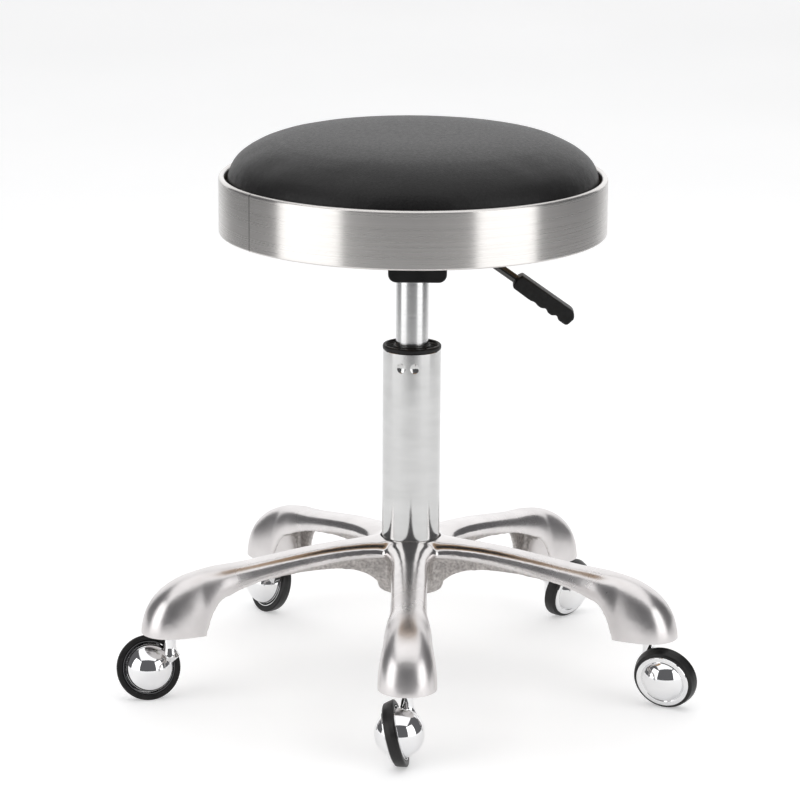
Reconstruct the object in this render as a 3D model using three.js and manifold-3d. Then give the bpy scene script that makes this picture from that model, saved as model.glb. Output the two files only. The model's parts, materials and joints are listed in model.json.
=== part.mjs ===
// A round dental stool on a five-leg cast base with ball castors and a gas lift.
// Millimetres, +Z up. The origin lies on the column's axis at floor level, and -Y is the stool's front.
import * as THREE from 'three';
import { mergeVertices } from 'three/addons/utils/BufferGeometryUtils.js';
import Module from 'manifold-3d';

const wasm = await Module();
wasm.setup();

// ---------------------------------------------------------------- driving dimensions
// clearances
const GAP = 0.3;                 // between pieces that touch or slide
const DEG = Math.PI / 180;

// cast base
const LEGS = 5;
const STEM_CIRCLE_R = 216;       // castor stems stand on this circle
const FOOT_Z = 59.5;             // flat underside of the feet above the floor
const FOOT_R = 24.8;             // round end of a foot, seen from above
const FOOT_HEEL = 27;            // from the stem back to the heel of the foot
const FOOT_DEPTH = 43;           // height of the leg above the foot's underside, over the stem
const LEG_HALF_W = 15.6;         // half width of a leg at its neck
const WEB_INSET = 4;             // the rough web under the cap is this much narrower each side
const CAP_DEPTH = 10;            // polished cap at the root of a leg
const WALL = 4.5;                // casting wall over the hollow underside
const HUB_R = 30;                // boss around the column, under the legs
const HUB_BOTTOM_Z = 81.3;
const HUB_TOP_Z = 129.2;
const HUB_CROWN_DROP = 3;        // the legs' crests start this far below the hub's mouth
const ARCH_RISE = 3.2;           // highest point of a leg's underside, above the foot's top
const ROOT_RISE = 9;             // a leg's underside leaves the hub this far above its bottom

// gas lift column
const TUBE_R = 25;
const TUBE_WALL = 1.5;
const TUBE_TOP_Z = 295.2;
const TAPER_DROP = 1.2;          // radius lost over the tapered foot of the tube
const COLLAR_H = 4.1;
const DIMPLE_R = 4.4;            // two pressed dimples that hold the guide sleeve
const DIMPLE_DEPTH = 1.0;
const DIMPLE_DROP = 12.5;        // below the collar
const DIMPLE_AZIMUTHS = [-21, 6];
const SLEEVE_LENGTH = 70;
const CYL_R = 14;                // gas cylinder
const CYL_WALL = 2;
const CYL_BOTTOM_Z = 150;
const CYL_HEAD = 10;             // solid head of the cylinder, bored for the valve pin
const CYL_TAPER = 1;             // radius lost over the cylinder's taper in the socket
const GLAND_H = 12;
const ROD_R = 5;                 // piston rod
const PISTON_H = 10;
const PISTON_ROD_TOP_Z = 268;
const END_PLATE_T = 3;           // floor of the column tube
const BEARING_H = 6;
const BEARING_W = 7;
const WASHER_T = 2;
const WASHER_W = 6;
const CLIP_T = 1.5;
const CLIP_W = 3.5;
const CLIP_GROOVE = 1;           // depth of the clip's groove in the rod
const SHOULDER = 4;              // shoulder of the piston rod on the thrust bearing

// seat
const SEAT_R = 165.5;
const BAND_BOTTOM_Z = 397.9;
const BAND_H = 49.1;
const BAND_WALL = 1.2;
const RIM_R = 2.6;               // rolled rim at the band's top
const RIM_TURN = 150;            // degrees that the rim is rolled through
const LIP_W = 7;                 // lip turned in under the board
const BOARD_T = 12;
const CUSHION_CROWN = 37;        // above the top of the band
const CUSHION_GAP = 1.4;         // between the cover and the rim
const CUSHION_SINK = 3;          // the dome starts this far below the top of the band
const DOME_FLATNESS = 3.6;       // the higher, the flatter the dome's middle
const DOME_SHOULDER = 0.6;       // the lower, the steeper the dome's edge

// mechanism and lever
const MECH_BOTTOM_Z = 360;
const MECH_LEFT = 20.5;          // the channel is not centred on the column
const MECH_RIGHT = 29.5;
const MECH_LENGTH = 70;
const MECH_CORNER_R = 7;
const MECH_WALL = 2.5;
const PLATE_W = 150;
const PLATE_L = 170;
const PLATE_T = 3;
const BOLT_X = 58;
const BOLT_Y = 68;
const BOLT_R = 3;
const BOLT_HEAD_R = 6.5;
const BOLT_HEAD_H = 4;
const SOCKET_WALL = 4;
const SOCKET_H = 14;
const EAR_L = 12;                // two ears in the box carry the lever's pivot pin
const EAR_T = 3;
const EAR_Y = 9;
const EAR_UNDER = 6;             // below the pivot
const SLOT_CLEARANCE = 2;        // around the lever where it leaves the box
const PIVOT_X = 18;              // lever pivot beside the valve pin
const PIVOT_R = 2.5;
const LEVER_R = 3.8;
const LEVER_OUT = 46.5;           // the lever is level up to here, then bends down
const LEVER_DROP = 35;           // degrees below level after the bend
const LEVER_REACH = 88.4;         // where the grip starts, from the column's axis
const GRIP_LENGTH = 60;
const GRIP_H = 14;
const GRIP_W = 17;
const VALVE_R = 3;
const VALVE_STROKE = 3;
const VALVE_PROUD = 4;           // stands above the cylinder's head at rest
const LEVER_BEND = 10;           // the bend takes this much of each straight
const LEVER_BOSS = 1.2;          // the boss on the pivot is this much thicker than the rod
const GRIP_HOLD = 8;             // the rod goes this deep into the grip
const GRIP_BEVEL = 2.4;
const SCALLOPS = 3;
const SCALLOP_PITCH = 12;
const SCALLOP_DEPTH = 2.4;       // of the outermost
const SCALLOP_FADE = 0.7;        // each next scallop is this much shallower

// castors
const SWIVELS = [-3.8, 66.3, 136.7, -145.4, -71.5];   // rest direction of each axle, front leg first
const TRAIL = 17.8;              // wheel centre behind the stem
const WHEEL_SIDE = 8.2;          // wheel centre beside the stem
const LEAN = 13.9;               // degrees that the axle climbs towards the hood
const TREAD_R = 27.7;            // at the middle of the tread
const TREAD_W = 10;
const TYRE_INNER_R = 23.4;
const BALL_R = 20.9;
const BALL_OFFSET = 3.5;         // ball centre from the wheel's middle plane, towards the hood
const DOME_EDGE_R = 0.89 * BALL_R;   // where the dome meets the chrome flange
const SHELL = 1.5;               // wall of the hood and the dome
const BARREL_WALL = 1.4;
const AXLE_R = 3;
const NECK_R = 5.2;
const NECK_FLARE = 14;           // the neck widens over this height above the ball's centre
const NECK_TOP_Z = FOOT_Z - 1.6;
const HUB_WALL = 2.6;            // wall around the axle in the hood and the wheel
const TREAD_EDGE = 1.2;          // bevel at the edges of the tread
const FLANGE_PROUD = 1.2;        // the wheel's flange stands out past the tyre
const HOOD_OPENING = -1;         // edge of the hood, from the wheel's middle plane
const STEM_R = 5;
const STEM_LENGTH = 26;
const SOCKET_R = 8.2;
const TYRE_SEGMENTS = 18;

// facets around a body of revolution, by its size
const FINE = 36;
const MEDIUM = 24;
const SMALL = 16;
const TINY = 12;

// ---------------------------------------------------------------- helpers
const object = new THREE.Group();

function material(color, roughness, metalness) {
  return new THREE.MeshStandardMaterial({ color, roughness, metalness });
}

const castAluminium = material(0xc4c0be, 0.28, 1);
const satinChrome = material(0xb9bab8, 0.22, 1);
const mirrorChrome = material(0xd8d8d8, 0.06, 1);
const brushedSteel = material(0xa9a5a1, 0.35, 1);
const blackSteel = material(0x141414, 0.5, 0.6);
const blackPlastic = material(0x1b1b1b, 0.6, 0);
const blackRubber = material(0x1f1e1e, 0.75, 0);
const blackCover = material(0x232323, 0.65, 0);
const zincSteel = material(0x9a9a94, 0.4, 1);
const plywood = material(0xb08a5c, 0.8, 0);

function addPart(name, geometry, mat, parent = object) {
  const mesh = new THREE.Mesh(geometry, mat);
  mesh.name = name;
  parent.add(mesh);
  return mesh;
}

function toSolid(geometry, matrix) {
  const g = geometry.clone();
  if (matrix) g.applyMatrix4(matrix);
  g.deleteAttribute('normal');
  g.deleteAttribute('uv');
  const merged = mergeVertices(g, 1e-4);
  return new wasm.Manifold(new wasm.Mesh({
    numProp: 3,
    vertProperties: new Float32Array(merged.attributes.position.array),
    triVerts: new Uint32Array(merged.index.array),
  }));
}

function toGeometry(solid) {
  const mesh = solid.getMesh();
  const g = new THREE.BufferGeometry();
  g.setAttribute('position', new THREE.BufferAttribute(new Float32Array(mesh.vertProperties), 3));
  g.setIndex(new THREE.BufferAttribute(new Uint32Array(mesh.triVerts), 1));
  g.computeVertexNormals();
  return g;
}

const moved = (x, y, z) => new THREE.Matrix4().makeTranslation(x, y, z);
const turnedZ = (angle) => new THREE.Matrix4().makeRotationZ(angle);

// A body of revolution about Z from [radius, height] points, listed anticlockwise (outer wall going up).
function revolve(points, segments) {
  const profile = points.map(([r, z]) => new THREE.Vector2(r, z));
  const onAxis = points[0][0] === 0 && points[points.length - 1][0] === 0;
  if (!onAxis) profile.push(profile[0].clone());
  const g = new THREE.LatheGeometry(profile, segments);
  g.rotateX(Math.PI / 2);
  return g;
}

const cylinder = (r, z0, z1, segments) => revolve([[0, z0], [r, z0], [r, z1], [0, z1]], segments);
const ring = (ri, ro, z0, z1, segments) => revolve([[ri, z0], [ro, z0], [ro, z1], [ri, z1]], segments);

function arcPoints(cx, cz, r, from, to, steps) {
  const points = [];
  for (let i = 0; i <= steps; i += 1) {
    const a = (from + (to - from) * i / steps) * DEG;
    points.push([cx + r * Math.cos(a), cz + r * Math.sin(a)]);
  }
  return points;
}

// ---------------------------------------------------------------- cast base
// Height of a leg's crest at a distance from the column's axis.
const footTopZ = FOOT_Z + FOOT_DEPTH;
const crest = new THREE.SplineCurve([
  new THREE.Vector2(0, HUB_TOP_Z - HUB_CROWN_DROP),
  new THREE.Vector2(0.37 * STEM_CIRCLE_R, HUB_TOP_Z - 3.6),
  new THREE.Vector2(0.62 * STEM_CIRCLE_R, footTopZ + 14.5),
  new THREE.Vector2(0.86 * STEM_CIRCLE_R, footTopZ + 9.6),
  new THREE.Vector2(STEM_CIRCLE_R, footTopZ - 1),
  new THREE.Vector2(STEM_CIRCLE_R + 0.64 * FOOT_R, FOOT_Z + 0.68 * FOOT_DEPTH),
  new THREE.Vector2(STEM_CIRCLE_R + 0.86 * FOOT_R, FOOT_Z + 0.4 * FOOT_DEPTH),
  new THREE.Vector2(STEM_CIRCLE_R + FOOT_R, FOOT_Z),
]);

const CREST_POINTS = 12;
const PLAN_STEPS = 3;

// Side view of a leg in the plane of its radius: crest on top, arch below, flat foot.
function legSide() {
  const heel = STEM_CIRCLE_R - FOOT_HEEL;
  const arch = footTopZ + ARCH_RISE;
  const root = HUB_BOTTOM_Z + ROOT_RISE;
  const shape = new THREE.Shape();
  shape.moveTo(0, root);
  shape.lineTo(HUB_R - 6, root);
  shape.bezierCurveTo(HUB_R + 10, arch - 2, HUB_R + 24, arch, 0.46 * heel + 12, arch);
  shape.bezierCurveTo(0.74 * heel, arch, heel - 4, 0.6 * arch + 0.4 * FOOT_Z, heel, FOOT_Z);
  for (const p of crest.getPoints(CREST_POINTS).reverse()) shape.lineTo(p.x, p.y);
  return shape;
}

// The hollow is open below: it runs from the hub to the castor's boss, one wall under the crest.
function hollowSide() {
  const start = HUB_R + WALL;
  const end = STEM_CIRCLE_R - SOCKET_R - WALL;
  const top = crest.getPoints(CREST_POINTS).map((p) => new THREE.Vector2(p.x, p.y - WALL));
  const inside = top.filter((p) => p.x > start && p.x < end);
  const shape = new THREE.Shape();
  shape.moveTo(start, 0);
  shape.lineTo(end, 0);
  shape.lineTo(end, inside[inside.length - 1].y - 2);
  for (const p of inside.reverse()) shape.lineTo(p.x, p.y);
  shape.lineTo(start, inside[inside.length - 1].y);
  return shape;
}

// Plan outline of a leg, drawn along +X from the column.
function legPlan(inset) {
  const w = LEG_HALF_W - inset;
  const f = FOOT_R - inset;
  const shape = new THREE.Shape();
  const flare = HUB_R - inset;
  shape.moveTo(0, -flare);
  shape.lineTo(8, -flare);
  shape.bezierCurveTo(36, -flare + 2, 40, -w - 1, 0.42 * STEM_CIRCLE_R, -w);
  shape.bezierCurveTo(0.66 * STEM_CIRCLE_R, -w, 0.72 * STEM_CIRCLE_R, -f + 1, 0.9 * STEM_CIRCLE_R, -f + 0.6);
  shape.lineTo(STEM_CIRCLE_R, -f);
  shape.absarc(STEM_CIRCLE_R, 0, f, -Math.PI / 2, Math.PI / 2, false);
  shape.lineTo(0.9 * STEM_CIRCLE_R, f - 0.6);
  shape.bezierCurveTo(0.72 * STEM_CIRCLE_R, f - 1, 0.66 * STEM_CIRCLE_R, w, 0.42 * STEM_CIRCLE_R, w);
  shape.bezierCurveTo(40, w + 1, 36, flare - 2, 8, flare);
  shape.lineTo(0, flare);
  shape.closePath();
  return shape;
}

// Both prisms are larger than the leg, which is what they have in common.
const legHeight = 1.2 * HUB_TOP_Z;
const sideWidth = 3 * FOOT_R;

function extruded(shape, depth, curveSegments) {
  return new THREE.ExtrudeGeometry(shape, { depth, bevelEnabled: false, curveSegments });
}

// Extrudes a side view, drawn in X and Z, along Y and centres it.
function alongY(shape, length, steps) {
  const g = extruded(shape, length, steps);
  g.rotateX(Math.PI / 2);
  g.translate(0, length / 2, 0);
  return toSolid(g);
}

function planPrism(inset) {
  return toSolid(extruded(legPlan(inset), legHeight, PLAN_STEPS));
}

function sidePrism(shape) {
  return alongY(shape, sideWidth, PLAN_STEPS);
}

// The polished cap is the full width; the web below it is narrower near the hub.
function capSide() {
  const top = crest.getPoints(CREST_POINTS);
  const shape = new THREE.Shape();
  const underCap = HUB_TOP_Z - HUB_CROWN_DROP - CAP_DEPTH;
  shape.moveTo(0, underCap);
  shape.lineTo(0.34 * STEM_CIRCLE_R, underCap - 1);
  shape.quadraticCurveTo(0.66 * STEM_CIRCLE_R, footTopZ - 2, 0.72 * STEM_CIRCLE_R, FOOT_Z - 1);
  shape.lineTo(STEM_CIRCLE_R + FOOT_R, FOOT_Z - 1);
  for (const p of top.reverse()) shape.lineTo(p.x, p.y);
  return shape;
}

function makeBase() {
  const outerSide = sidePrism(legSide());
  const cap = outerSide.intersect(planPrism(0)).intersect(sidePrism(capSide()));
  const web = outerSide.intersect(planPrism(WEB_INSET));
  const hollow = sidePrism(hollowSide()).intersect(planPrism(WEB_INSET + WALL));
  const leg = cap.add(web).subtract(hollow);
  const atStem = moved(STEM_CIRCLE_R, 0, 0);
  const socketBore = toSolid(cylinder(SOCKET_R + GAP, FOOT_Z - 1, FOOT_Z + STEM_LENGTH + 5, SMALL), atStem);
  let base = toSolid(cylinder(HUB_R, HUB_BOTTOM_Z, HUB_TOP_Z, MEDIUM));
  for (let k = 0; k < LEGS; k += 1) {
    base = base.add(leg.subtract(socketBore).transform(turnedZ(legAngle(k)).elements));
  }
  const tubeFoot = TUBE_R - TAPER_DROP + GAP;
  const bore = toSolid(revolve([
    [0, HUB_BOTTOM_Z - 1], [tubeFoot, HUB_BOTTOM_Z - 1], [TUBE_R + GAP, HUB_TOP_Z + 1], [0, HUB_TOP_Z + 1],
  ], MEDIUM));
  return base.subtract(bore);
}

// Leg 1 points to the front (-Y), and the others follow anticlockwise seen from above.
function legAngle(k) {
  return -Math.PI / 2 + k * 2 * Math.PI / LEGS;
}

addPart('base_casting', toGeometry(makeBase()), castAluminium);

// ---------------------------------------------------------------- column and gas lift
const tubeBottomZ = HUB_BOTTOM_Z;
const tubeFootR = TUBE_R - TAPER_DROP;

function makeTube() {
  let tube = toSolid(revolve([
    [ROD_R + GAP, tubeBottomZ], [tubeFootR, tubeBottomZ], [TUBE_R, HUB_TOP_Z], [TUBE_R, TUBE_TOP_Z],
    [TUBE_R - TUBE_WALL, TUBE_TOP_Z], [TUBE_R - TUBE_WALL, HUB_TOP_Z],
    [tubeFootR - TUBE_WALL, tubeBottomZ + END_PLATE_T], [ROD_R + GAP, tubeBottomZ + END_PLATE_T],
  ], MEDIUM));
  const ballR = (DIMPLE_R ** 2 + DIMPLE_DEPTH ** 2) / (2 * DIMPLE_DEPTH);
  for (const azimuth of DIMPLE_AZIMUTHS) {
    const a = -Math.PI / 2 + azimuth * DEG;
    const reach = TUBE_R - DIMPLE_DEPTH + ballR;
    const dimple = new THREE.SphereGeometry(ballR, 24, 12);
    tube = tube.subtract(toSolid(dimple,
      moved(reach * Math.cos(a), reach * Math.sin(a), TUBE_TOP_Z - DIMPLE_DROP)));
  }
  return tube;
}

addPart('column_tube', toGeometry(makeTube()), satinChrome);

addPart('guide_collar', revolve([
  [CYL_R + GAP, TUBE_TOP_Z + GAP], [TUBE_R, TUBE_TOP_Z + GAP], [TUBE_R, TUBE_TOP_Z + COLLAR_H - 0.8],
  [TUBE_R - 0.8, TUBE_TOP_Z + COLLAR_H], [TUBE_R - 3, TUBE_TOP_Z + COLLAR_H],
  [TUBE_R - 4, TUBE_TOP_Z + COLLAR_H - 1.6], [CYL_R + GAP, TUBE_TOP_Z + COLLAR_H - 1.6],
], MEDIUM), blackPlastic);

const sleeveR = TUBE_R - TUBE_WALL - GAP;
const sleeveBottomZ = TUBE_TOP_Z - SLEEVE_LENGTH;
addPart('guide_sleeve', ring(CYL_R + GAP, sleeveR, sleeveBottomZ, TUBE_TOP_Z, MEDIUM), blackPlastic);

const bearingZ = tubeBottomZ + END_PLATE_T + GAP;
const bearingTopZ = bearingZ + BEARING_H;
addPart('thrust_bearing', ring(ROD_R + GAP, ROD_R + BEARING_W, bearingZ, bearingTopZ, SMALL), zincSteel);

const washerZ = tubeBottomZ - GAP - WASHER_T;
addPart('end_washer', ring(ROD_R + GAP, ROD_R + WASHER_W, washerZ, washerZ + WASHER_T, TINY), zincSteel);

const clipZ = washerZ - GAP - CLIP_T;
const grooveR = ROD_R - CLIP_GROOVE;
addPart('retaining_clip', ring(grooveR + GAP, ROD_R + CLIP_W, clipZ, clipZ + CLIP_T, TINY), zincSteel);

const grooveTopZ = clipZ + CLIP_T + GAP / 2;
const shoulderZ = bearingTopZ + GAP;
const shoulderTopZ = bearingTopZ + SHOULDER;
addPart('piston_rod', revolve([
  [0, clipZ - 2], [ROD_R - 0.5, clipZ - 2], [ROD_R, clipZ - 1.5], [ROD_R, clipZ - GAP],
  [grooveR, clipZ - GAP], [grooveR, grooveTopZ], [ROD_R, grooveTopZ],
  [ROD_R, shoulderZ], [ROD_R + SHOULDER, shoulderZ], [ROD_R + SHOULDER, shoulderTopZ], [ROD_R, shoulderTopZ],
  [ROD_R, PISTON_ROD_TOP_Z], [0, PISTON_ROD_TOP_Z],
], TINY), satinChrome);

const boreR = CYL_R - CYL_WALL;
const pistonZ = PISTON_ROD_TOP_Z - PISTON_H - 4;

addPart('piston', ring(ROD_R + GAP, boreR - GAP, pistonZ, pistonZ + PISTON_H, SMALL), blackRubber);

// The gas cylinder is closed at its top, apart from the valve pin's bore.
const boardZ = BAND_BOTTOM_Z + BAND_WALL + GAP;
const plateZ = boardZ - GAP - PLATE_T;
const cylTopZ = MECH_BOTTOM_Z + SOCKET_H + 4;
const headZ = cylTopZ - CYL_HEAD;
addPart('gas_cylinder', revolve([
  [boreR, CYL_BOTTOM_Z], [CYL_R, CYL_BOTTOM_Z], [CYL_R, MECH_BOTTOM_Z - 2], [CYL_R - CYL_TAPER, cylTopZ],
  [VALVE_R + GAP, cylTopZ], [VALVE_R + GAP, headZ], [boreR, headZ],
], MEDIUM), satinChrome);

const glandZ = CYL_BOTTOM_Z + 1;
addPart('cylinder_gland', ring(ROD_R + GAP, boreR - GAP, glandZ, glandZ + GLAND_H, SMALL), blackRubber);

const valveTopZ = cylTopZ + VALVE_PROUD;
addPart('valve_pin', cylinder(VALVE_R, headZ + VALVE_STROKE + 1, valveTopZ, TINY), zincSteel);

// ---------------------------------------------------------------- seat
addPart('seat_board', cylinder(SEAT_R - BAND_WALL - GAP, boardZ, boardZ + BOARD_T, FINE), plywood);

const bandTopZ = BAND_BOTTOM_Z + BAND_H;
function bandProfile() {
  const innerR = SEAT_R - BAND_WALL;
  const rollZ = bandTopZ - RIM_R;
  const outer = arcPoints(SEAT_R - RIM_R, rollZ, RIM_R, 0, RIM_TURN, 4);
  const inner = arcPoints(SEAT_R - RIM_R, rollZ, RIM_R - BAND_WALL, RIM_TURN, 0, 4);
  return [
    [SEAT_R - LIP_W, BAND_BOTTOM_Z], [SEAT_R - 1, BAND_BOTTOM_Z], [SEAT_R, BAND_BOTTOM_Z + 1],
    ...outer, ...inner,
    [innerR, BAND_BOTTOM_Z + BAND_WALL], [SEAT_R - LIP_W, BAND_BOTTOM_Z + BAND_WALL],
  ];
}
addPart('seat_band', revolve(bandProfile(), FINE), brushedSteel);

// The cover swells above the rim as a flattened dome.
const cushionR = SEAT_R - RIM_R * 2 - CUSHION_GAP;
const domeZ = bandTopZ - CUSHION_SINK;
const DOME_STEPS = 9;
function cushionProfile() {
  const z0 = boardZ + BOARD_T + GAP;
  const points = [[0, z0], [cushionR - 4, z0], [cushionR, z0 + 4], [cushionR, domeZ]];
  for (let i = 1; i < DOME_STEPS; i += 1) {
    const share = Math.cos(i / DOME_STEPS * Math.PI / 2);
    const swell = (1 - share ** DOME_FLATNESS) ** DOME_SHOULDER;
    points.push([cushionR * share, domeZ + (CUSHION_CROWN + CUSHION_SINK) * swell]);
  }
  points.push([0, bandTopZ + CUSHION_CROWN]);
  return points;
}
addPart('cushion', revolve(cushionProfile(), FINE), blackCover);

// ---------------------------------------------------------------- mechanism
// A folded steel box under a flat top plate, with a slot in its right wall for the lever.
function channelSection(inset, bottomZ, topZ) {
  const l = -MECH_LEFT + inset;
  const r = MECH_RIGHT - inset;
  const c = MECH_CORNER_R - inset;
  const shape = new THREE.Shape();
  shape.moveTo(l, topZ);
  shape.lineTo(l, bottomZ + c);
  shape.absarc(l + c, bottomZ + c, c, Math.PI, 1.5 * Math.PI, false);
  shape.absarc(r - c, bottomZ + c, c, 1.5 * Math.PI, 2 * Math.PI, false);
  shape.lineTo(r, topZ);
  shape.closePath();
  return shape;
}

const CORNER_STEPS = 5;
const pivotZ = valveTopZ + GAP + LEVER_R;
const earH = plateZ - pivotZ + EAR_UNDER;
const pinLength = 2 * (EAR_Y + EAR_T);
const boltPlaces = [[-1, -1], [-1, 1], [1, -1], [1, 1]].map(([sx, sy]) => [sx * BOLT_X, sy * BOLT_Y]);

function block(width, length, height, at) {
  return toSolid(new THREE.BoxGeometry(width, length, height), at);
}

function mechanismBox() {
  const outside = channelSection(0, MECH_BOTTOM_Z, plateZ + 0.5);
  const inside = channelSection(MECH_WALL, MECH_BOTTOM_Z + MECH_WALL, plateZ);
  const innerLength = MECH_LENGTH - 2 * MECH_WALL;
  return alongY(outside, MECH_LENGTH, CORNER_STEPS).subtract(alongY(inside, innerLength, CORNER_STEPS));
}

function makeMechanism() {
  const plate = block(PLATE_W, PLATE_L, PLATE_T, moved(0, 0, plateZ + PLATE_T / 2));
  const socket = toSolid(cylinder(CYL_R + SOCKET_WALL, MECH_BOTTOM_Z, MECH_BOTTOM_Z + SOCKET_H, MEDIUM));
  const bore = toSolid(revolve([
    [0, MECH_BOTTOM_Z - 2], [CYL_R + GAP, MECH_BOTTOM_Z - 2],
    [CYL_R - CYL_TAPER + GAP, cylTopZ], [0, cylTopZ],
  ], MEDIUM));
  const slotW = 2 * (LEVER_R + SLOT_CLEARANCE);
  const slot = block(16, slotW, 2 * slotW - 4, moved(MECH_RIGHT, 0, pivotZ + 1));
  let body = mechanismBox().add(plate).add(socket).subtract(bore).subtract(slot);
  const boltHole = cylinder(BOLT_R + GAP, plateZ - 1, plateZ + PLATE_T + 1, TINY);
  for (const [x, y] of boltPlaces) body = body.subtract(toSolid(boltHole, moved(x, y, 0)));
  const earZ = (plateZ + pivotZ - EAR_UNDER) / 2 + GAP;
  for (const side of [-1, 1]) {
    body = body.add(block(EAR_L, EAR_T, earH, moved(PIVOT_X, side * EAR_Y, earZ)));
  }
  const pinBore = new THREE.CylinderGeometry(PIVOT_R + GAP, PIVOT_R + GAP, 2 * pinLength, TINY);
  return body.subtract(toSolid(pinBore, moved(PIVOT_X, 0, pivotZ)));
}
addPart('mechanism_plate', toGeometry(makeMechanism()), blackSteel);

addPart('lever_pivot_pin', new THREE.CylinderGeometry(PIVOT_R, PIVOT_R, pinLength, TINY), zincSteel)
  .position.set(PIVOT_X, 0, pivotZ);

const boltProfile = [
  [0, plateZ - GAP - BOLT_HEAD_H], [BOLT_HEAD_R - 1.5, plateZ - GAP - BOLT_HEAD_H],
  [BOLT_HEAD_R, plateZ - GAP - BOLT_HEAD_H + 2.2], [BOLT_HEAD_R, plateZ - GAP],
  [BOLT_R, plateZ - GAP], [BOLT_R, boardZ - GAP / 2], [0, boardZ - GAP / 2],
];
boltPlaces.forEach(([x, y], i) => {
  addPart(`seat_bolt_${i + 1}`, revolve(boltProfile, TINY), zincSteel).position.set(x, y, 0);
});

// ---------------------------------------------------------------- lever
// The rod runs level from over the valve pin through the pivot, then bends down to the grip.
const drop = LEVER_DROP * DEG;
const bend = new THREE.Vector3(LEVER_OUT, 0, pivotZ);
const gripDir = new THREE.Vector3(Math.cos(drop), 0, -Math.sin(drop));
const gripStart = bend.clone().addScaledVector(gripDir, (LEVER_REACH - LEVER_OUT) / Math.cos(drop));

function leverPath() {
  const start = new THREE.Vector3(-VALVE_R, 0, pivotZ);
  const bendIn = new THREE.Vector3(LEVER_OUT - LEVER_BEND, 0, pivotZ);
  const bendOut = bend.clone().addScaledVector(gripDir, LEVER_BEND);
  const end = gripStart.clone().addScaledVector(gripDir, GRIP_HOLD);
  const path = new THREE.CurvePath();
  path.add(new THREE.LineCurve3(start, bendIn));
  path.add(new THREE.QuadraticBezierCurve3(bendIn, bend, bendOut));
  path.add(new THREE.LineCurve3(bendOut, end));
  return path;
}

function makeLeverRod() {
  const section = new THREE.Shape();
  section.absarc(0, 0, LEVER_R, 0, 2 * Math.PI, false);
  const rod = new THREE.ExtrudeGeometry(section, {
    extrudePath: leverPath(), steps: 12, curveSegments: 5, bevelEnabled: false,
  });
  const bossR = LEVER_R + LEVER_BOSS;
  const boss = new THREE.CylinderGeometry(bossR, bossR, 12, TINY);
  const bore = new THREE.CylinderGeometry(PIVOT_R + GAP, PIVOT_R + GAP, 40, TINY);
  const atPivot = moved(PIVOT_X, 0, pivotZ);
  return toSolid(rod).add(toSolid(boss, atPivot)).subtract(toSolid(bore, atPivot));
}
addPart('lever_rod', toGeometry(makeLeverRod()), blackSteel);

// Side view of the grip: straight on top, three finger scallops below. X runs along the grip.
function gripShape() {
  const top = GRIP_H / 2;
  const shape = new THREE.Shape();
  shape.moveTo(1, top - 1.5);
  shape.lineTo(2.5, top);
  shape.lineTo(GRIP_LENGTH - 5, top);
  shape.quadraticCurveTo(GRIP_LENGTH, top, GRIP_LENGTH, top - 5);
  shape.lineTo(GRIP_LENGTH - 0.5, -top + 3);
  shape.quadraticCurveTo(GRIP_LENGTH - 1, -top, GRIP_LENGTH - 5, -top);
  let x = GRIP_LENGTH - 5;
  for (let i = 0; i < SCALLOPS; i += 1) {
    const floor = -top + SCALLOP_DEPTH - SCALLOP_FADE * i;
    const next = x - SCALLOP_PITCH;
    shape.bezierCurveTo(x - 4, -top, x - 3, floor, x - SCALLOP_PITCH / 2, floor);
    shape.bezierCurveTo(next + 3, floor, next + 2, -top, next, -top);
    x = next;
  }
  shape.lineTo(3, -top + 1);
  shape.lineTo(0, -top + 3);
  shape.closePath();
  return shape;
}

function makeGrip() {
  const g = new THREE.ExtrudeGeometry(gripShape(), {
    depth: GRIP_W - 2 * GRIP_BEVEL, curveSegments: 4, bevelEnabled: true, bevelSegments: 1,
    bevelThickness: GRIP_BEVEL, bevelSize: GRIP_BEVEL, bevelOffset: -GRIP_BEVEL,
  });
  g.rotateX(Math.PI / 2);
  g.translate(0, GRIP_W / 2 - GRIP_BEVEL, 0);
  const holeLength = 2 * (GRIP_HOLD + GAP);
  const hole = new THREE.CylinderGeometry(LEVER_R + GAP, LEVER_R + GAP, holeLength, TINY);
  hole.rotateZ(Math.PI / 2);
  return toSolid(g).subtract(toSolid(hole));
}
const grip = addPart('lever_grip', toGeometry(makeGrip()), blackPlastic);
grip.rotation.y = drop;
grip.position.copy(gripStart);

// ---------------------------------------------------------------- castors
// Each castor is drawn with its stem on the local Z axis, its axle along +X and its wheel trailing to -Y.
const lean = LEAN * DEG;
const halfFacet = Math.PI / TYRE_SEGMENTS;
const treadMidR = TREAD_R * Math.cos(halfFacet);
const tyreCone = Math.tan(lean) / Math.cos(halfFacet);
const wheelCentre = new THREE.Vector3(-WHEEL_SIDE, -TRAIL, treadMidR * Math.cos(lean));
const axleDir = new THREE.Vector3(Math.cos(lean), 0, Math.sin(lean));
const ballCentre = wheelCentre.clone().addScaledVector(axleDir, BALL_OFFSET);
const hubR = AXLE_R + HUB_WALL;

// Turns a body of revolution about Z so that its Z lies along the climbing axle and a facet rests on the floor.
function onAxle(geometry) {
  geometry.rotateZ(Math.PI / 2 + halfFacet);
  geometry.rotateY(Math.PI / 2 - lean);
  geometry.translate(wheelCentre.x, wheelCentre.y, wheelCentre.z);
  return geometry;
}

const halfTread = TREAD_W / 2;
const treadR = (o) => TREAD_R + o * tyreCone;
const bevelO = halfTread - TREAD_EDGE;
const tyreProfile = [
  [TYRE_INNER_R, -halfTread], [treadR(-halfTread) - 1.6, -halfTread], [treadR(-bevelO), -bevelO],
  [treadR(bevelO), bevelO], [treadR(halfTread) - 1.8, halfTread], [TYRE_INNER_R, halfTread],
];

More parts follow.
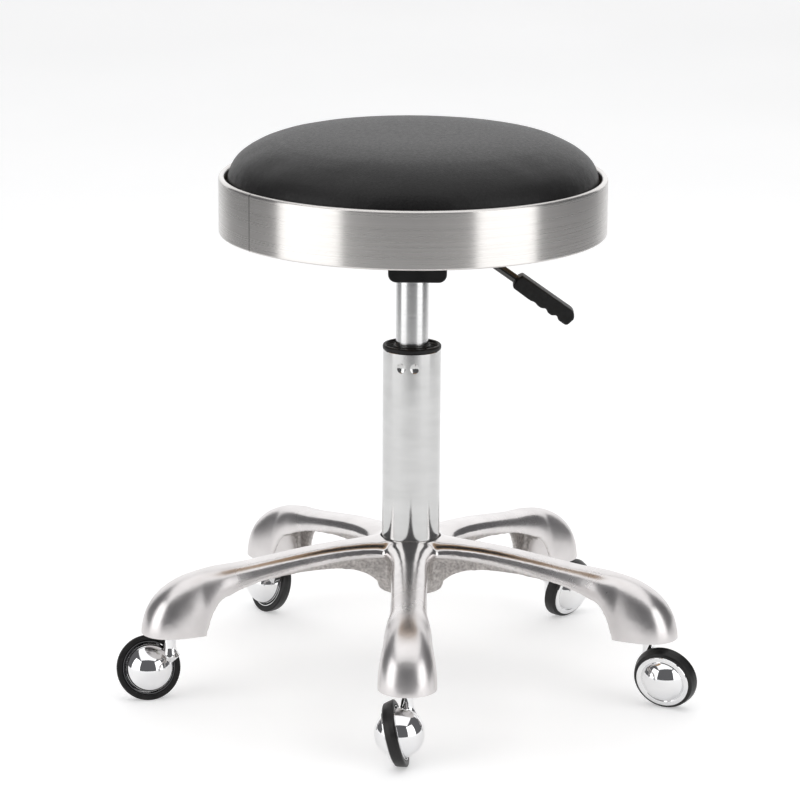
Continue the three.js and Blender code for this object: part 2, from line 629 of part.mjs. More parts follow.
const barrelR = TYRE_INNER_R - GAP;
const barrelIn = barrelR - BARREL_WALL;
const flangeO = -halfTread - FLANGE_PROUD;
const domeAngle = Math.asin(DOME_EDGE_R / BALL_R) / DEG;
const domePoleO = BALL_OFFSET - BALL_R;
const axleEndO = domePoleO + 4;
function domeArc(r, from, to, steps) {
  return arcPoints(0, BALL_OFFSET, r, from, to, steps).map(([x, o]) => [Math.max(x, 0), o]);
}
function wheelProfile() {
  const outer = domeArc(BALL_R, -90, -90 + domeAngle, 5);
  const innerR = BALL_R - SHELL;
  const inner = domeArc(innerR, -90 + domeAngle - 3, -90 + Math.asin(hubR / innerR) / DEG, 3);
  outer[0] = [0, domePoleO];
  return [
    ...outer,
    [DOME_EDGE_R + 0.6, flangeO], [TYRE_INNER_R, flangeO],
    [TYRE_INNER_R, -halfTread - GAP], [barrelR, -halfTread - GAP],
    [barrelR, halfTread], [barrelIn, halfTread], [barrelIn, flangeO + SHELL],
    ...inner,
    [hubR, -halfTread], [AXLE_R + GAP, -halfTread], [AXLE_R + GAP, axleEndO - GAP], [0, axleEndO - GAP],
  ];
}

// The hood is half a ball around the axle's boss. Its neck climbs from the ball to the stem.
function hoodProfile() {
  const innerR = BALL_R - SHELL;
  const start = Math.asin((HOOD_OPENING - BALL_OFFSET) / BALL_R) / DEG;
  const startIn = Math.asin((HOOD_OPENING - BALL_OFFSET) / innerR) / DEG;
  const bossEnd = Math.acos(hubR / innerR) / DEG;
  const crownO = BALL_OFFSET + innerR - 0.5;
  const outer = domeArc(BALL_R, start, 90, 7);
  outer[outer.length - 1][0] = 0;
  return [
    ...outer,
    [0, crownO], [AXLE_R + GAP, crownO], [AXLE_R + GAP, 2], [hubR, 2],
    ...arcPoints(0, BALL_OFFSET, innerR, bossEnd, startIn, 5),
    outer[0],
  ];
}

function makeHood() {
  const g = new THREE.LatheGeometry(hoodProfile().map(([r, o]) => new THREE.Vector2(r, o)), TYRE_SEGMENTS);
  g.rotateX(Math.PI / 2);
  const shell = toSolid(onAxle(g));
  const neck = toSolid(revolve([
    [0, ballCentre.z + 2], [NECK_R / 2, ballCentre.z + 2], [NECK_R, ballCentre.z + NECK_FLARE],
    [NECK_R, NECK_TOP_Z], [0, NECK_TOP_Z],
  ], SMALL));
  const hollow = new THREE.SphereGeometry(BALL_R - SHELL + 0.7, 24, 14);
  return shell.add(neck.subtract(toSolid(hollow, moved(ballCentre.x, ballCentre.y, ballCentre.z))));
}

const hoodGeometry = toGeometry(makeHood());
const wheelGeometry = onAxle(revolve(wheelProfile(), TYRE_SEGMENTS));
const tyreGeometry = onAxle(revolve(tyreProfile, TYRE_SEGMENTS));
const axleTopO = BALL_OFFSET + BALL_R - SHELL - 1;
const axleGeometry = onAxle(cylinder(AXLE_R, axleEndO + 1, axleTopO, TINY));
const stemFoot = NECK_TOP_Z + GAP;
const stemTopZ = FOOT_Z + STEM_LENGTH;
const stemGeometry = revolve([
  [0, stemFoot], [SOCKET_R, stemFoot], [SOCKET_R, FOOT_Z - 2 * GAP], [STEM_R, FOOT_Z - 2 * GAP],
  [STEM_R, stemTopZ - 1], [STEM_R - 1, stemTopZ], [0, stemTopZ],
], TINY);
const socketGeometry = revolve([
  [STEM_R + GAP, FOOT_Z - GAP], [SOCKET_R, FOOT_Z - GAP], [SOCKET_R, stemTopZ + 3],
  [0, stemTopZ + 3], [0, stemTopZ + 1], [STEM_R + GAP, stemTopZ + 1],
], TINY);

for (let k = 0; k < LEGS; k += 1) {
  const a = legAngle(k);
  const x = STEM_CIRCLE_R * Math.cos(a);
  const y = STEM_CIRCLE_R * Math.sin(a);
  const number = k + 1;
  addPart(`castor_socket_${number}`, socketGeometry, blackPlastic).position.set(x, y, 0);
  const castor = new THREE.Group();
  castor.position.set(x, y, 0);
  castor.rotation.z = SWIVELS[k] * DEG;
  object.add(castor);
  addPart(`castor_stem_${number}`, stemGeometry, zincSteel, castor);
  addPart(`castor_hood_${number}`, hoodGeometry, mirrorChrome, castor);
  addPart(`castor_axle_${number}`, axleGeometry, zincSteel, castor);
  addPart(`castor_wheel_${number}`, wheelGeometry, mirrorChrome, castor);
  addPart(`castor_tyre_${number}`, tyreGeometry, blackRubber, castor);
}

export default object;
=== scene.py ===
# %% [markdown]
# # A round dental stool
# This lesson builds the looks of a stool around a finished mechanical model. The script loads that model
# itself. Every visible piece is then modelled again with soft edges and real finishes, and rides on one of
# its bodies.
# Lengths are written in millimetres and multiplied by MM, because Blender works in metres.

# %% Load the imported model
import json
import math

import bmesh
import bpy
import numpy as np
from mathutils import Matrix, Vector


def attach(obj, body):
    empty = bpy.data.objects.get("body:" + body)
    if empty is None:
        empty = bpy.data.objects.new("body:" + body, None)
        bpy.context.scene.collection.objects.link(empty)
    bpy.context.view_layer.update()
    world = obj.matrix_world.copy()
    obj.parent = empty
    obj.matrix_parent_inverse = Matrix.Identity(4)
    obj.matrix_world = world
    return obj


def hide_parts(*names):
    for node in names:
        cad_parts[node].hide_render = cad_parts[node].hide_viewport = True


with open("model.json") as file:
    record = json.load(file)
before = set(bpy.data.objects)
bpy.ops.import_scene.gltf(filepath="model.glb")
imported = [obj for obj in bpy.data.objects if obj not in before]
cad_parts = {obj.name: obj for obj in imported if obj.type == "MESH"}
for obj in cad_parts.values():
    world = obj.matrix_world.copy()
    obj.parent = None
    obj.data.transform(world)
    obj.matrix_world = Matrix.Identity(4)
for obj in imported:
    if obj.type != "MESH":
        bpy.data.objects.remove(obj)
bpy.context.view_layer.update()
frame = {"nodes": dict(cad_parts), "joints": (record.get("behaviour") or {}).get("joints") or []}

MM = 0.001
nodes = frame["nodes"]
joints = {joint["name"]: joint for joint in frame["joints"]}
scene = bpy.context.scene

# %% [markdown]
# The camera stands in front of the stool, a little above the seat, and looks slightly down with a long lens.
# The lens is long because the far legs look almost as big as the near one. The camera is an ordinary object,
# so it is turned by hand: first down by its pitch, then round the column.

# %% Camera
CAMERA_DISTANCE = 3114.4     # in front of the column
CAMERA_HEIGHT = 1021.8
CAMERA_PITCH = 13.93         # degrees below level
CAMERA_SIDE = -10.0
CAMERA_TURN = 0.67           # degrees round the column
CAMERA_ROLL = 0.372
CAMERA_LENS = 167.5

around_column = Matrix.Rotation(math.radians(CAMERA_TURN), 4, "Z")
camera_data = bpy.data.cameras.new("camera")
camera_data.lens = CAMERA_LENS
camera_data.clip_end = 60.0
camera = bpy.data.objects.new("camera", camera_data)
scene.collection.objects.link(camera)
camera.matrix_world = (
    around_column
    @ Matrix.Translation(Vector((CAMERA_SIDE, -CAMERA_DISTANCE, CAMERA_HEIGHT)) * MM)
    @ Matrix.Rotation(math.radians(90 - CAMERA_PITCH), 4, "X")
    @ Matrix.Rotation(math.radians(CAMERA_ROLL), 4, "Z")
)
scene.camera = camera
print("camera at", [round(c, 3) for c in camera.matrix_world.translation])

# %% [markdown]
# Polished metal shows the room more than itself. Two tall soft boxes stand beside the camera, with a dark
# gap between them, a wide one hangs overhead, and a pale backdrop glows behind the stool. All four are area
# lights, hidden from the camera but not from reflections. The rest of the room is dark. The side boxes reach
# below the floor, because an upright mirror seen from above reflects what lies below the level of the eye.

# %% Soft boxes and the room
def soft_box(name, azimuth, distance, height, width, tall, power, aim):
    """An area light at an azimuth from the camera's side, in degrees and metres, that faces a point."""
    light = bpy.data.lights.new(name, "AREA")
    light.shape = "RECTANGLE"
    light.size = width
    light.size_y = tall
    light.energy = power
    holder = bpy.data.objects.new(name, light)
    angle = math.radians(azimuth)
    place = Vector((math.sin(angle) * distance, -math.cos(angle) * distance, height))
    facing = (Vector(aim) - place).to_track_quat("-Z", "Y")
    holder.matrix_world = Matrix.Translation(place) @ facing.to_matrix().to_4x4()
    holder.visible_camera = False
    scene.collection.objects.link(holder)
    return holder


soft_box("left box", -61.5, 2.5, 0.7, 1.9, 2.8, 30, (0, 0, 0.7))
soft_box("right box", 56, 2.5, 0.7, 1.75, 2.8, 27, (0, 0, 0.7))
soft_box("top box", 0, 0.01, 3.2, 5.0, 5.0, 88, (0, 0, 0))
soft_box("backdrop", 180, 6.5, 3.5, 12.0, 7.0, 270, (0, 0, 3.5))

room = bpy.data.worlds.new("room")
room.use_nodes = True
room.node_tree.nodes["Background"].inputs["Color"].default_value = (0.13, 0.13, 0.135, 1)
scene.world = room
scene.view_settings.view_transform = "Standard"

# %% [markdown]
# A material is a small graph of nodes. These helpers keep the graphs short: one adds a node and fills or
# links its inputs, one starts a shader group, which is a reusable effect with named inputs and outputs, and
# one puts a group to use.

# %% Node helpers
def add_node(tree, kind, inputs=None, **settings):
    """A new node whose inputs are linked, where a socket is given, or else set to a value."""
    made = tree.nodes.new(kind)
    for key, value in settings.items():
        setattr(made, key, value)
    for key, value in (inputs or {}).items():
        if isinstance(value, bpy.types.NodeSocket):
            tree.links.new(value, made.inputs[key])
        else:
            made.inputs[key].default_value = value
    return made


def start_group(name, inputs, outputs):
    """An empty shader group with its inputs, as (name, kind, value), and its outputs, as (name, kind)."""
    group = bpy.data.node_groups.new(name, "ShaderNodeTree")
    for label, kind, value in inputs:
        socket = group.interface.new_socket(label, in_out="INPUT", socket_type=kind)
        if value is not None:
            socket.default_value = value
    for label, kind in outputs:
        group.interface.new_socket(label, in_out="OUTPUT", socket_type=kind)
    return group, group.nodes.new("NodeGroupInput"), group.nodes.new("NodeGroupOutput")


def place_group(tree, group, **inputs):
    return add_node(tree, "ShaderNodeGroup", inputs, node_tree=group)


# %% [markdown]
# Nearly every finish varies a little: a smear, a grain, a brushing line. The first group is a noise whose
# pattern can be stretched along any axis and whose result runs between two given values. The second mixes two
# colours by such a noise.

# %% Shader groups that the finishes share
VECTOR = "NodeSocketVector"
FLOAT = "NodeSocketFloat"
COLOUR = "NodeSocketColor"
COLOUR_A = 6                 # sockets of a mix node that mixes colours
COLOUR_B = 7
MIXED_COLOUR = 2


def mix_colours(tree, factor, first, second):
    """The socket of a colour between two others."""
    mixed = add_node(tree, "ShaderNodeMix", {"Factor": factor}, data_type="RGBA")
    for place, colour in ((COLOUR_A, first), (COLOUR_B, second)):
        if isinstance(colour, bpy.types.NodeSocket):
            tree.links.new(colour, mixed.inputs[place])
        else:
            mixed.inputs[place].default_value = colour
    return mixed.outputs[MIXED_COLOUR]


def build_grain_group():
    group, start, end = start_group(
        "grain",
        [("Stretch", VECTOR, (1, 1, 1)), ("Scale", FLOAT, 100.0), ("Low", FLOAT, 0.0), ("High", FLOAT, 1.0)],
        [("Value", FLOAT), ("Height", FLOAT)],
    )
    place = add_node(group, "ShaderNodeTexCoord")
    stretched = add_node(group, "ShaderNodeMapping",
                         {"Vector": place.outputs["Object"], "Scale": start.outputs["Stretch"]})
    noise = add_node(group, "ShaderNodeTexNoise",
                     {"Vector": stretched.outputs[0], "Scale": start.outputs["Scale"], "Detail": 4.0})
    ranged = add_node(group, "ShaderNodeMapRange", {
        "Value": noise.outputs[0], "From Min": 0.3, "From Max": 0.7,
        "To Min": start.outputs["Low"], "To Max": start.outputs["High"],
    })
    group.links.new(ranged.outputs[0], end.inputs["Value"])
    group.links.new(noise.outputs[0], end.inputs["Height"])
    return group


def build_mottle_group(grain):
    group, start, end = start_group(
        "mottle",
        [("Stretch", VECTOR, (1, 1, 1)), ("Scale", FLOAT, 100.0),
         ("Dark", COLOUR, None), ("Light", COLOUR, None)],
        [("Colour", COLOUR)],
    )
    spots = place_group(group, grain, Stretch=start.outputs["Stretch"], Scale=start.outputs["Scale"])
    mixed = mix_colours(group, spots.outputs["Value"], start.outputs["Dark"], start.outputs["Light"])
    group.links.new(mixed, end.inputs["Colour"])
    return group


grain_group = build_grain_group()
mottle_group = build_mottle_group(grain_group)
print("groups:", [g.name for g in bpy.data.node_groups])

# %% [markdown]
# One function starts every finish. It sets the numbers that are the same all over the surface, mixes the two
# close colours, lets the roughness wander between two values, and presses a fine grain into the normals.

# %% The common finish
WEAR_SCALE = 0.7             # the wear's pattern is this much coarser than the colour's


def start_finish(name, dark, light, rough, scale=60.0, stretch=(1, 1, 1), bump=None, **sockets):
    """A finish with a mottled colour, a wandering roughness and a grain, as (scale, strength, mm)."""
    material = bpy.data.materials.new(name)
    material.use_nodes = True
    tree = material.node_tree
    shader = tree.nodes["Principled BSDF"]
    for key, value in sockets.items():
        shader.inputs[key.replace("_", " ")].default_value = value
    colour = place_group(tree, mottle_group, Stretch=stretch, Scale=scale,
                         Dark=(*dark, 1), Light=(*light, 1))
    worn = place_group(tree, grain_group, Stretch=stretch, Scale=WEAR_SCALE * scale,
                       Low=rough[0], High=rough[1])
    tree.links.new(colour.outputs["Colour"], shader.inputs["Base Color"])
    tree.links.new(worn.outputs["Value"], shader.inputs["Roughness"])
    if bump:
        texture = place_group(tree, grain_group, Stretch=stretch, Scale=bump[0])
        pressed = add_node(tree, "ShaderNodeBump",
                           {"Height": texture.outputs["Height"], "Strength": bump[1], "Distance": bump[2] * MM})
        tree.links.new(pressed.outputs[0], shader.inputs["Normal"])
    return material, tree, shader


# %% [markdown]
# The chromed steels come first. The castors are mirror bright. The column and the lift are bright too, but
# they were ground before plating, so faint lines run round them and soften what they reflect.

# %% Chrome, zinc and ground steel
mirror_chrome, *_ = start_finish(
    "mirror chrome", (0.80, 0.80, 0.81), (0.86, 0.86, 0.86), (0.02, 0.06), Metallic=1.0)
column_chrome, *_ = start_finish(
    "column chrome", (0.57, 0.57, 0.565), (0.63, 0.63, 0.625), (0.10, 0.17), scale=25.0, stretch=(1, 1, 4),
    bump=(900.0, 0.04, 0.02), Metallic=1.0)
lift_chrome, *_ = start_finish(
    "lift chrome", (0.66, 0.66, 0.66), (0.74, 0.74, 0.74), (0.20, 0.28), scale=30.0, stretch=(0.3, 0.3, 20),
    bump=(400.0, 0.05, 0.02), Metallic=1.0)
zinc, *_ = start_finish(
    "zinc plate", (0.42, 0.41, 0.37), (0.62, 0.61, 0.57), (0.28, 0.42), scale=220.0,
    bump=(700.0, 0.1, 0.03), Metallic=1.0)

# %% [markdown]
# The band is brushed round its length, so each reflection is drawn out up and down. Anisotropy does that:
# the tangent runs round the seat, and a quarter turn points the long way of the highlights across it. Fine
# level lines in the normals and in the colour are the brushing itself. One upright line on the left is where
# the strip is welded into a ring.

# %% Brushed steel band
WELD_AZIMUTH = -144.4        # degrees from +X
WELD_WIDTH = 1.1
WELD_COLOUR = (0.30, 0.29, 0.28, 1)


def build_band_finish():
    material, tree, shader = start_finish(
        "brushed steel", (0.66, 0.64, 0.62), (0.73, 0.71, 0.69), (0.26, 0.32), scale=9.0,
        stretch=(0.3, 0.3, 220), bump=(30.0, 0.02, 0.02), Metallic=1.0, Anisotropic=0.9,
        Anisotropic_Rotation=0.25)
    tangent = add_node(tree, "ShaderNodeTangent", direction_type="RADIAL", axis="Z")
    tree.links.new(tangent.outputs[0], shader.inputs["Tangent"])
    place = add_node(tree, "ShaderNodeTexCoord")
    turned = add_node(tree, "ShaderNodeMapping", {
        "Vector": place.outputs["Object"], "Rotation": (0, 0, -math.radians(WELD_AZIMUTH))})
    split = add_node(tree, "ShaderNodeSeparateXYZ", {"Vector": turned.outputs[0]})
    off = add_node(tree, "ShaderNodeMath", {0: split.outputs["Y"]}, operation="ABSOLUTE")
    line = add_node(tree, "ShaderNodeMapRange", {
        "Value": off.outputs[0], "From Min": 0.2 * WELD_WIDTH * MM, "From Max": WELD_WIDTH * MM,
        "To Min": 1.0, "To Max": 0.0})
    side = add_node(tree, "ShaderNodeMath", {0: split.outputs["X"], 1: 0.0}, operation="GREATER_THAN")
    seam = add_node(tree, "ShaderNodeMath", {0: line.outputs[0], 1: side.outputs[0]}, operation="MULTIPLY")
    plain = shader.inputs["Base Color"].links[0].from_socket
    mixed = mix_colours(tree, seam.outputs[0], plain, WELD_COLOUR)
    tree.links.new(mixed, shader.inputs["Base Color"])
    return material


brushed_steel = build_band_finish()
print("brushed steel has", len(brushed_steel.node_tree.nodes), "nodes")

# %% [markdown]
# The base is cast aluminium. Its tops are polished by hand, brightest at the hub and duller towards the
# feet, and the webs below keep the sand's grain. Which is which is painted on the mesh as an attribute named
# sand, so the finish only has to mix between the two.

# %% Cast aluminium, polished and raw
POLISH_START = 45.0          # millimetres from the axis
POLISH_END = 190.0
POLISH_HUB = 0.16            # roughness
POLISH_FOOT = 0.31
RAW_ROUGHNESS = 0.55


def build_cast_finish():
    material, tree, shader = start_finish(
        "cast aluminium", (0.68, 0.655, 0.65), (0.77, 0.745, 0.74), (-0.03, 0.05), scale=38.0, Metallic=1.0)
    sand = add_node(tree, "ShaderNodeAttribute", attribute_name="sand").outputs["Fac"]
    polished_colour = shader.inputs["Base Color"].links[0].from_socket
    place = add_node(tree, "ShaderNodeTexCoord")
    level = add_node(tree, "ShaderNodeVectorMath", {0: place.outputs["Object"], 1: (1, 1, 0)},
                     operation="MULTIPLY")
    from_hub = add_node(tree, "ShaderNodeVectorMath", {0: level.outputs[0]}, operation="LENGTH")
    duller = add_node(tree, "ShaderNodeMapRange", {
        "Value": from_hub.outputs["Value"], "From Min": POLISH_START * MM, "From Max": POLISH_END * MM,
        "To Min": POLISH_HUB, "To Max": POLISH_FOOT})
    polished_rough = add_node(tree, "ShaderNodeMath", {
        0: duller.outputs[0], 1: shader.inputs["Roughness"].links[0].from_socket}, operation="ADD").outputs[0]
    raw = place_group(tree, mottle_group, Scale=420.0, Dark=(0.33, 0.31, 0.30, 1), Light=(0.62, 0.59, 0.57, 1))
    colour = mix_colours(tree, sand, polished_colour, raw.outputs["Colour"])
    tree.links.new(colour, shader.inputs["Base Color"])
    rough = add_node(tree, "ShaderNodeMix", {"Factor": sand, "A": polished_rough, "B": RAW_ROUGHNESS})
    tree.links.new(rough.outputs[0], shader.inputs["Roughness"])
    lines = place_group(tree, grain_group, Scale=160.0, Low=0.0, High=0.12)
    grit = place_group(tree, grain_group, Scale=700.0, Low=0.0, High=1.0)
    height = add_node(tree, "ShaderNodeMix",
                      {"Factor": sand, "A": lines.outputs["Value"], "B": grit.outputs["Value"]})
    pressed = add_node(tree, "ShaderNodeBump",
                       {"Height": height.outputs[0], "Strength": 0.35, "Distance": 0.5 * MM})
    tree.links.new(pressed.outputs[0], shader.inputs["Normal"])
    return material


cast_aluminium = build_cast_finish()

# %% [markdown]
# The black pieces differ in gloss. Painted steel has a coat over it, moulded plastic has a fine spark
# texture, and the tyre is dull rubber. The plywood board under the seat shows its plies at the edge.

# %% Black finishes and plywood
lever_paint, *_ = start_finish(
    "gloss black paint", (0.004, 0.004, 0.004), (0.007, 0.007, 0.007), (0.14, 0.22), scale=90.0,
    bump=(400.0, 0.05, 0.03), Coat_Weight=0.7, Coat_Roughness=0.06)
steel_paint, *_ = start_finish(
    "satin black paint", (0.003, 0.003, 0.003), (0.006, 0.006, 0.006), (0.26, 0.40), scale=90.0,
    bump=(900.0, 0.25, 0.05), Specular_IOR_Level=0.3, Coat_Weight=0.15)
moulded_black, *_ = start_finish(
    "moulded black plastic", (0.004, 0.004, 0.004), (0.010, 0.010, 0.010), (0.40, 0.58), scale=300.0,
    bump=(1800.0, 0.45, 0.06), Specular_IOR_Level=0.3)
tyre_rubber, *_ = start_finish(
    "black tyre", (0.005, 0.005, 0.005), (0.012, 0.011, 0.011), (0.30, 0.44), scale=150.0,
    bump=(1200.0, 0.25, 0.05), Specular_IOR_Level=0.35)
plywood, *_ = start_finish(
    "plywood", (0.30, 0.18, 0.09), (0.52, 0.35, 0.20), (0.55, 0.75), scale=14.0, stretch=(1.2, 12, 45),
    bump=(60.0, 0.3, 0.2))

# %% [markdown]
# The cover is coated fabric: almost black, with a fine pebbled grain. Voronoi cells make the pebbles, a
# noise breaks up their edges, and a slight sheen lifts the edges of the dome.

# %% Cushion cover
PEBBLE_SCALE = 750.0


def build_cover_finish():
    material, tree, shader = start_finish(
        "black cover", (0.0050, 0.0047, 0.0048), (0.0100, 0.0094, 0.0096), (0.40, 0.50), scale=500.0,
        Sheen_Weight=0.03, Sheen_Roughness=0.5, Specular_IOR_Level=0.30)
    place = add_node(tree, "ShaderNodeTexCoord")
    pebbles = add_node(tree, "ShaderNodeTexVoronoi",
                       {"Vector": place.outputs["Object"], "Scale": PEBBLE_SCALE})
    broken = place_group(tree, grain_group, Scale=2 * PEBBLE_SCALE, Low=0.0, High=0.5)
    height = add_node(tree, "ShaderNodeMath", {0: pebbles.outputs["Distance"], 1: broken.outputs["Value"]},
                      operation="ADD")
    pressed = add_node(tree, "ShaderNodeBump",
                       {"Height": height.outputs[0], "Strength": 0.6, "Distance": 0.15 * MM})
    tree.links.new(pressed.outputs[0], shader.inputs["Normal"])
    return material


black_cover = build_cover_finish()
print(len(bpy.data.materials), "finishes")

# %% [markdown]
# ## Tools for the meshes
# Most of the stool was turned on a lathe, so its pieces are outlines spun about an axis. One helper spins, one
# makes a plain cylinder, one rounds off the sharp edges, one cuts one shape out of another or joins it on, and
# one lets the result ride on a body.

# %% Mesh helpers
def turned(outline, steps, place=None):
    """Spins (radius, height) points in millimetres about Z. An outline that stays off the axis is closed."""
    bm = bmesh.new()
    corners = [bm.verts.new((r * MM, 0, z * MM)) for r, z in outline]
    pairs = list(zip(corners, corners[1:]))
    if outline[0][0] > 0:
        pairs.append((corners[-1], corners[0]))
    edges = [bm.edges.new(pair) for pair in pairs]
    bmesh.ops.spin(bm, geom=corners + edges, cent=(0, 0, 0), axis=(0, 0, 1), angle=2 * math.pi, steps=steps,
                   use_merge=True, use_duplicate=False)
    bmesh.ops.remove_doubles(bm, verts=bm.verts, dist=0.001 * MM)
    bmesh.ops.recalc_face_normals(bm, faces=bm.faces)
    if place:
        bm.transform(place)
    return bm


def plug(radius, low, high, steps, place=None):
    """A plain cylinder between two heights."""
    return turned([(0, low), (radius, low), (radius, high), (0, high)], steps, place)


def arc(centre_r, centre_z, radius, first, last, steps):
    """Points of an arc between two angles, in degrees from level, kept off the far side of the axis."""
    angles = [math.radians(first + (last - first) * i / steps) for i in range(steps + 1)]
    return [(max(centre_r + radius * math.cos(a), 0.0), centre_z + radius * math.sin(a)) for a in angles]


def bevel(bm, edges, width, segments, profile=0.5):
    bmesh.ops.bevel(bm, geom=edges, offset=width * MM, offset_type="OFFSET", segments=segments, profile=profile,
                    affect="EDGES", clamp_overlap=True, material=-1)
    return bm


def soften(bm, width, segments=3, over=30):
    """Rounds every edge whose faces meet at more than an angle."""
    sharp = [e for e in bm.edges if len(e.link_faces) == 2 and e.calc_face_angle() > math.radians(over)]
    return bevel(bm, sharp, width, segments)


def as_object(bm, name, material):
    mesh = bpy.data.meshes.new(name)
    bm.to_mesh(mesh)
    bm.free()
    mesh.materials.append(material)
    made = bpy.data.objects.new(name, mesh)
    scene.collection.objects.link(made)
    return made


def install(made, body, replaced=(), sharp=38):
    """Smooths an object's shading, lets it ride on a body and hides the parts it stands for."""
    made.data.shade_smooth()
    made.data.set_sharp_from_angle(angle=math.radians(sharp))
    even = made.modifiers.new("even shading", "WEIGHTED_NORMAL")
    even.keep_sharp = True
    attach(made, body)
    if replaced:
        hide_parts(*replaced)
    return made


def settle(made):
    """Makes the shape that an object's modifiers give it its own mesh."""
    shown = made.evaluated_get(bpy.context.evaluated_depsgraph_get())
    mesh = bpy.data.meshes.new_from_object(shown)
    made.modifiers.clear()
    made.data = mesh


def cut(made, cutter, operation="DIFFERENCE"):
    """Takes a mesh or another object away from an object, or joins it on, and removes it."""
    is_object = isinstance(cutter, bpy.types.Object)
    tool = cutter if is_object else as_object(cutter, "tool", made.data.materials[0])
    knife = made.modifiers.new("cut", "BOOLEAN")
    knife.operation = operation
    knife.solver = "EXACT"
    knife.object = tool
    settle(made)
    bpy.data.objects.remove(tool)


def smooth_skin(made, times):
    bm = bmesh.new()
    bm.from_mesh(made.data)
    for _ in range(times):
        bmesh.ops.smooth_vert(bm, verts=bm.verts, factor=0.5, use_axis_x=True, use_axis_y=True, use_axis_z=True)
    return bm


def remesh(made, size):
    """Melts an object's parts into one skin with an even grid of faces."""
    melt = made.modifiers.new("melt", "REMESH")
    melt.mode = "VOXEL"
    melt.voxel_size = size * MM
    settle(made)


def curve_through(points):
    """A smooth function through (x, y) points, level beyond both ends."""
    xs = [p[0] for p in points]
    ys = [p[1] for p in points]
    slopes = np.gradient(ys, xs)

    def value(x):
        x = min(max(x, xs[0]), xs[-1])
        i = min(int(np.searchsorted(xs, x, side="right")), len(xs) - 1) - 1
        span = xs[i + 1] - xs[i]
        t = (x - xs[i]) / span
        return ((2 * t**3 - 3 * t**2 + 1) * ys[i] + (t**3 - 2 * t**2 + t) * span * slopes[i]
                + (3 * t**2 - 2 * t**3) * ys[i + 1] + (t**3 - t**2) * span * slopes[i + 1])

    return value


# %% [markdown]
# ## The base casting
# A leg is a loft: one closed section is pulled out along the leg and reshaped at each station. Seen from the
# end, a section is an arch with a step where the polished cap overhangs the rough web, and it is hollow
# below. These curves give its crest, the step, the lower edge and the half width along the leg, from the
# column out. Each is a list of (distance from the axis, value).

# %% Leg curves
LEGS = 5
STEM_CIRCLE = 216.0
FOOT_RADIUS = 24.8
FOOT_UNDERSIDE = 59.5
CASTING_WALL = 4.5
HUB_RADIUS = 28.5
HUB_BOTTOM = 81.3
HUB_TOP = 129.2
HOLLOW_START = 36.0
HOLLOW_END = 201.0
TRIM = 4.0                   # the feet are cast this much too deep and then cut flat

crest = curve_through([
    (0, 129.0), (30, 128.8), (55, 127.6), (81, 125.6), (117, 120.8), (150, 116.0), (178, 113.4), (192, 111.2),
    (205, 107.2), (214, 102.6), (223, 96.2), (232, 86.0), (237, 76.0), (241, 60.0)])
heel = [(150, 97.4), (165, 92.0), (179, 83.0), (188, 60.0), (189, FOOT_UNDERSIDE - TRIM)]
step = curve_through([
    (0, 116.0), (38, 115.8), (56, 115.0), (80, 112.6), (107, 108.6), (135, 102.2)] + heel)
lower_edge = curve_through([
    (0, 86.0), (31, 91.0), (40, 98.0), (49, 102.2), (67, 105.4), (103, 105.4), (121, 103.6),
    (139, 100.8)] + heel)
half_width = curve_through([
    (0, 26.0), (20, 25.4), (30, 22.6), (40, 19.2), (50, 17.2), (65, 16.0), (95, 15.6), (140, 15.6),
    (158, 16.4), (172, 18.8), (186, 21.6), (200, 23.9), (210, 24.7), (STEM_CIRCLE, FOOT_RADIUS)])
web_inset = curve_through([(0, 4.0), (70, 4.0), (105, 2.2), (136, 0.0), (241, 0.0)])
squareness = curve_through([(0, 2.6), (60, 2.8), (150, 3.1), (190, 2.7), (216, 2.5), (241, 2.3)])


def leg_half_width(along):
    if along <= STEM_CIRCLE:
        return half_width(along)
    return math.sqrt(max(FOOT_RADIUS**2 - (along - STEM_CIRCLE)**2, 0.2))


# %% Leg section and loft
CROWN_STEPS = 16
HOLLOW_STEPS = 8


def arched(wide, foot, top, power, steps):
    """Points of a squarish arch from its right foot over the top to its left foot."""
    points = []
    for i in range(steps + 1):
        a = math.pi * i / steps
        across = math.copysign(abs(math.cos(a))**power, math.cos(a)) * wide
        points.append((across, foot + (top - foot) * math.sin(a)**power))
    return points


def leg_section(along):
    """(across, height) points of a leg's section, over the outside and back under the hollow."""
    wide = leg_half_width(along)
    web = wide - min(web_inset(along), 0.4 * wide)
    base, ledge, top = lower_edge(along), step(along), crest(along)
    ledge = max(ledge, base)
    power = 2.0 / squareness(along)
    cap = arched(wide, ledge, top, power, CROWN_STEPS)
    outside = [(web, base), (web, ledge)] + cap + [(-web, ledge), (-web, base)]
    inside = max(web - CASTING_WALL, 0.3 * wide)
    hollow = HOLLOW_START < along < HOLLOW_END
    spring, roof = (max(ledge - CASTING_WALL, base), top - CASTING_WALL) if hollow else (base, base)
    under = arched(inside, spring, roof, power, HOLLOW_STEPS)
    return outside + [(-inside, base)] + under[::-1] + [(inside, base)]


def pull_ring(bm, ring):
    """Extrudes a closed ring of vertices and returns the new ring in the same order."""
    edges = [bm.edges.get((a, b)) for a, b in zip(ring, ring[1:] + ring[:1])]
    pulled = bmesh.ops.extrude_edge_only(bm, edges=edges)
    fresh = {v for v in pulled["geom"] if isinstance(v, bmesh.types.BMVert)}
    return [next(e.other_vert(v) for e in v.link_edges if e.other_vert(v) in fresh) for v in ring]


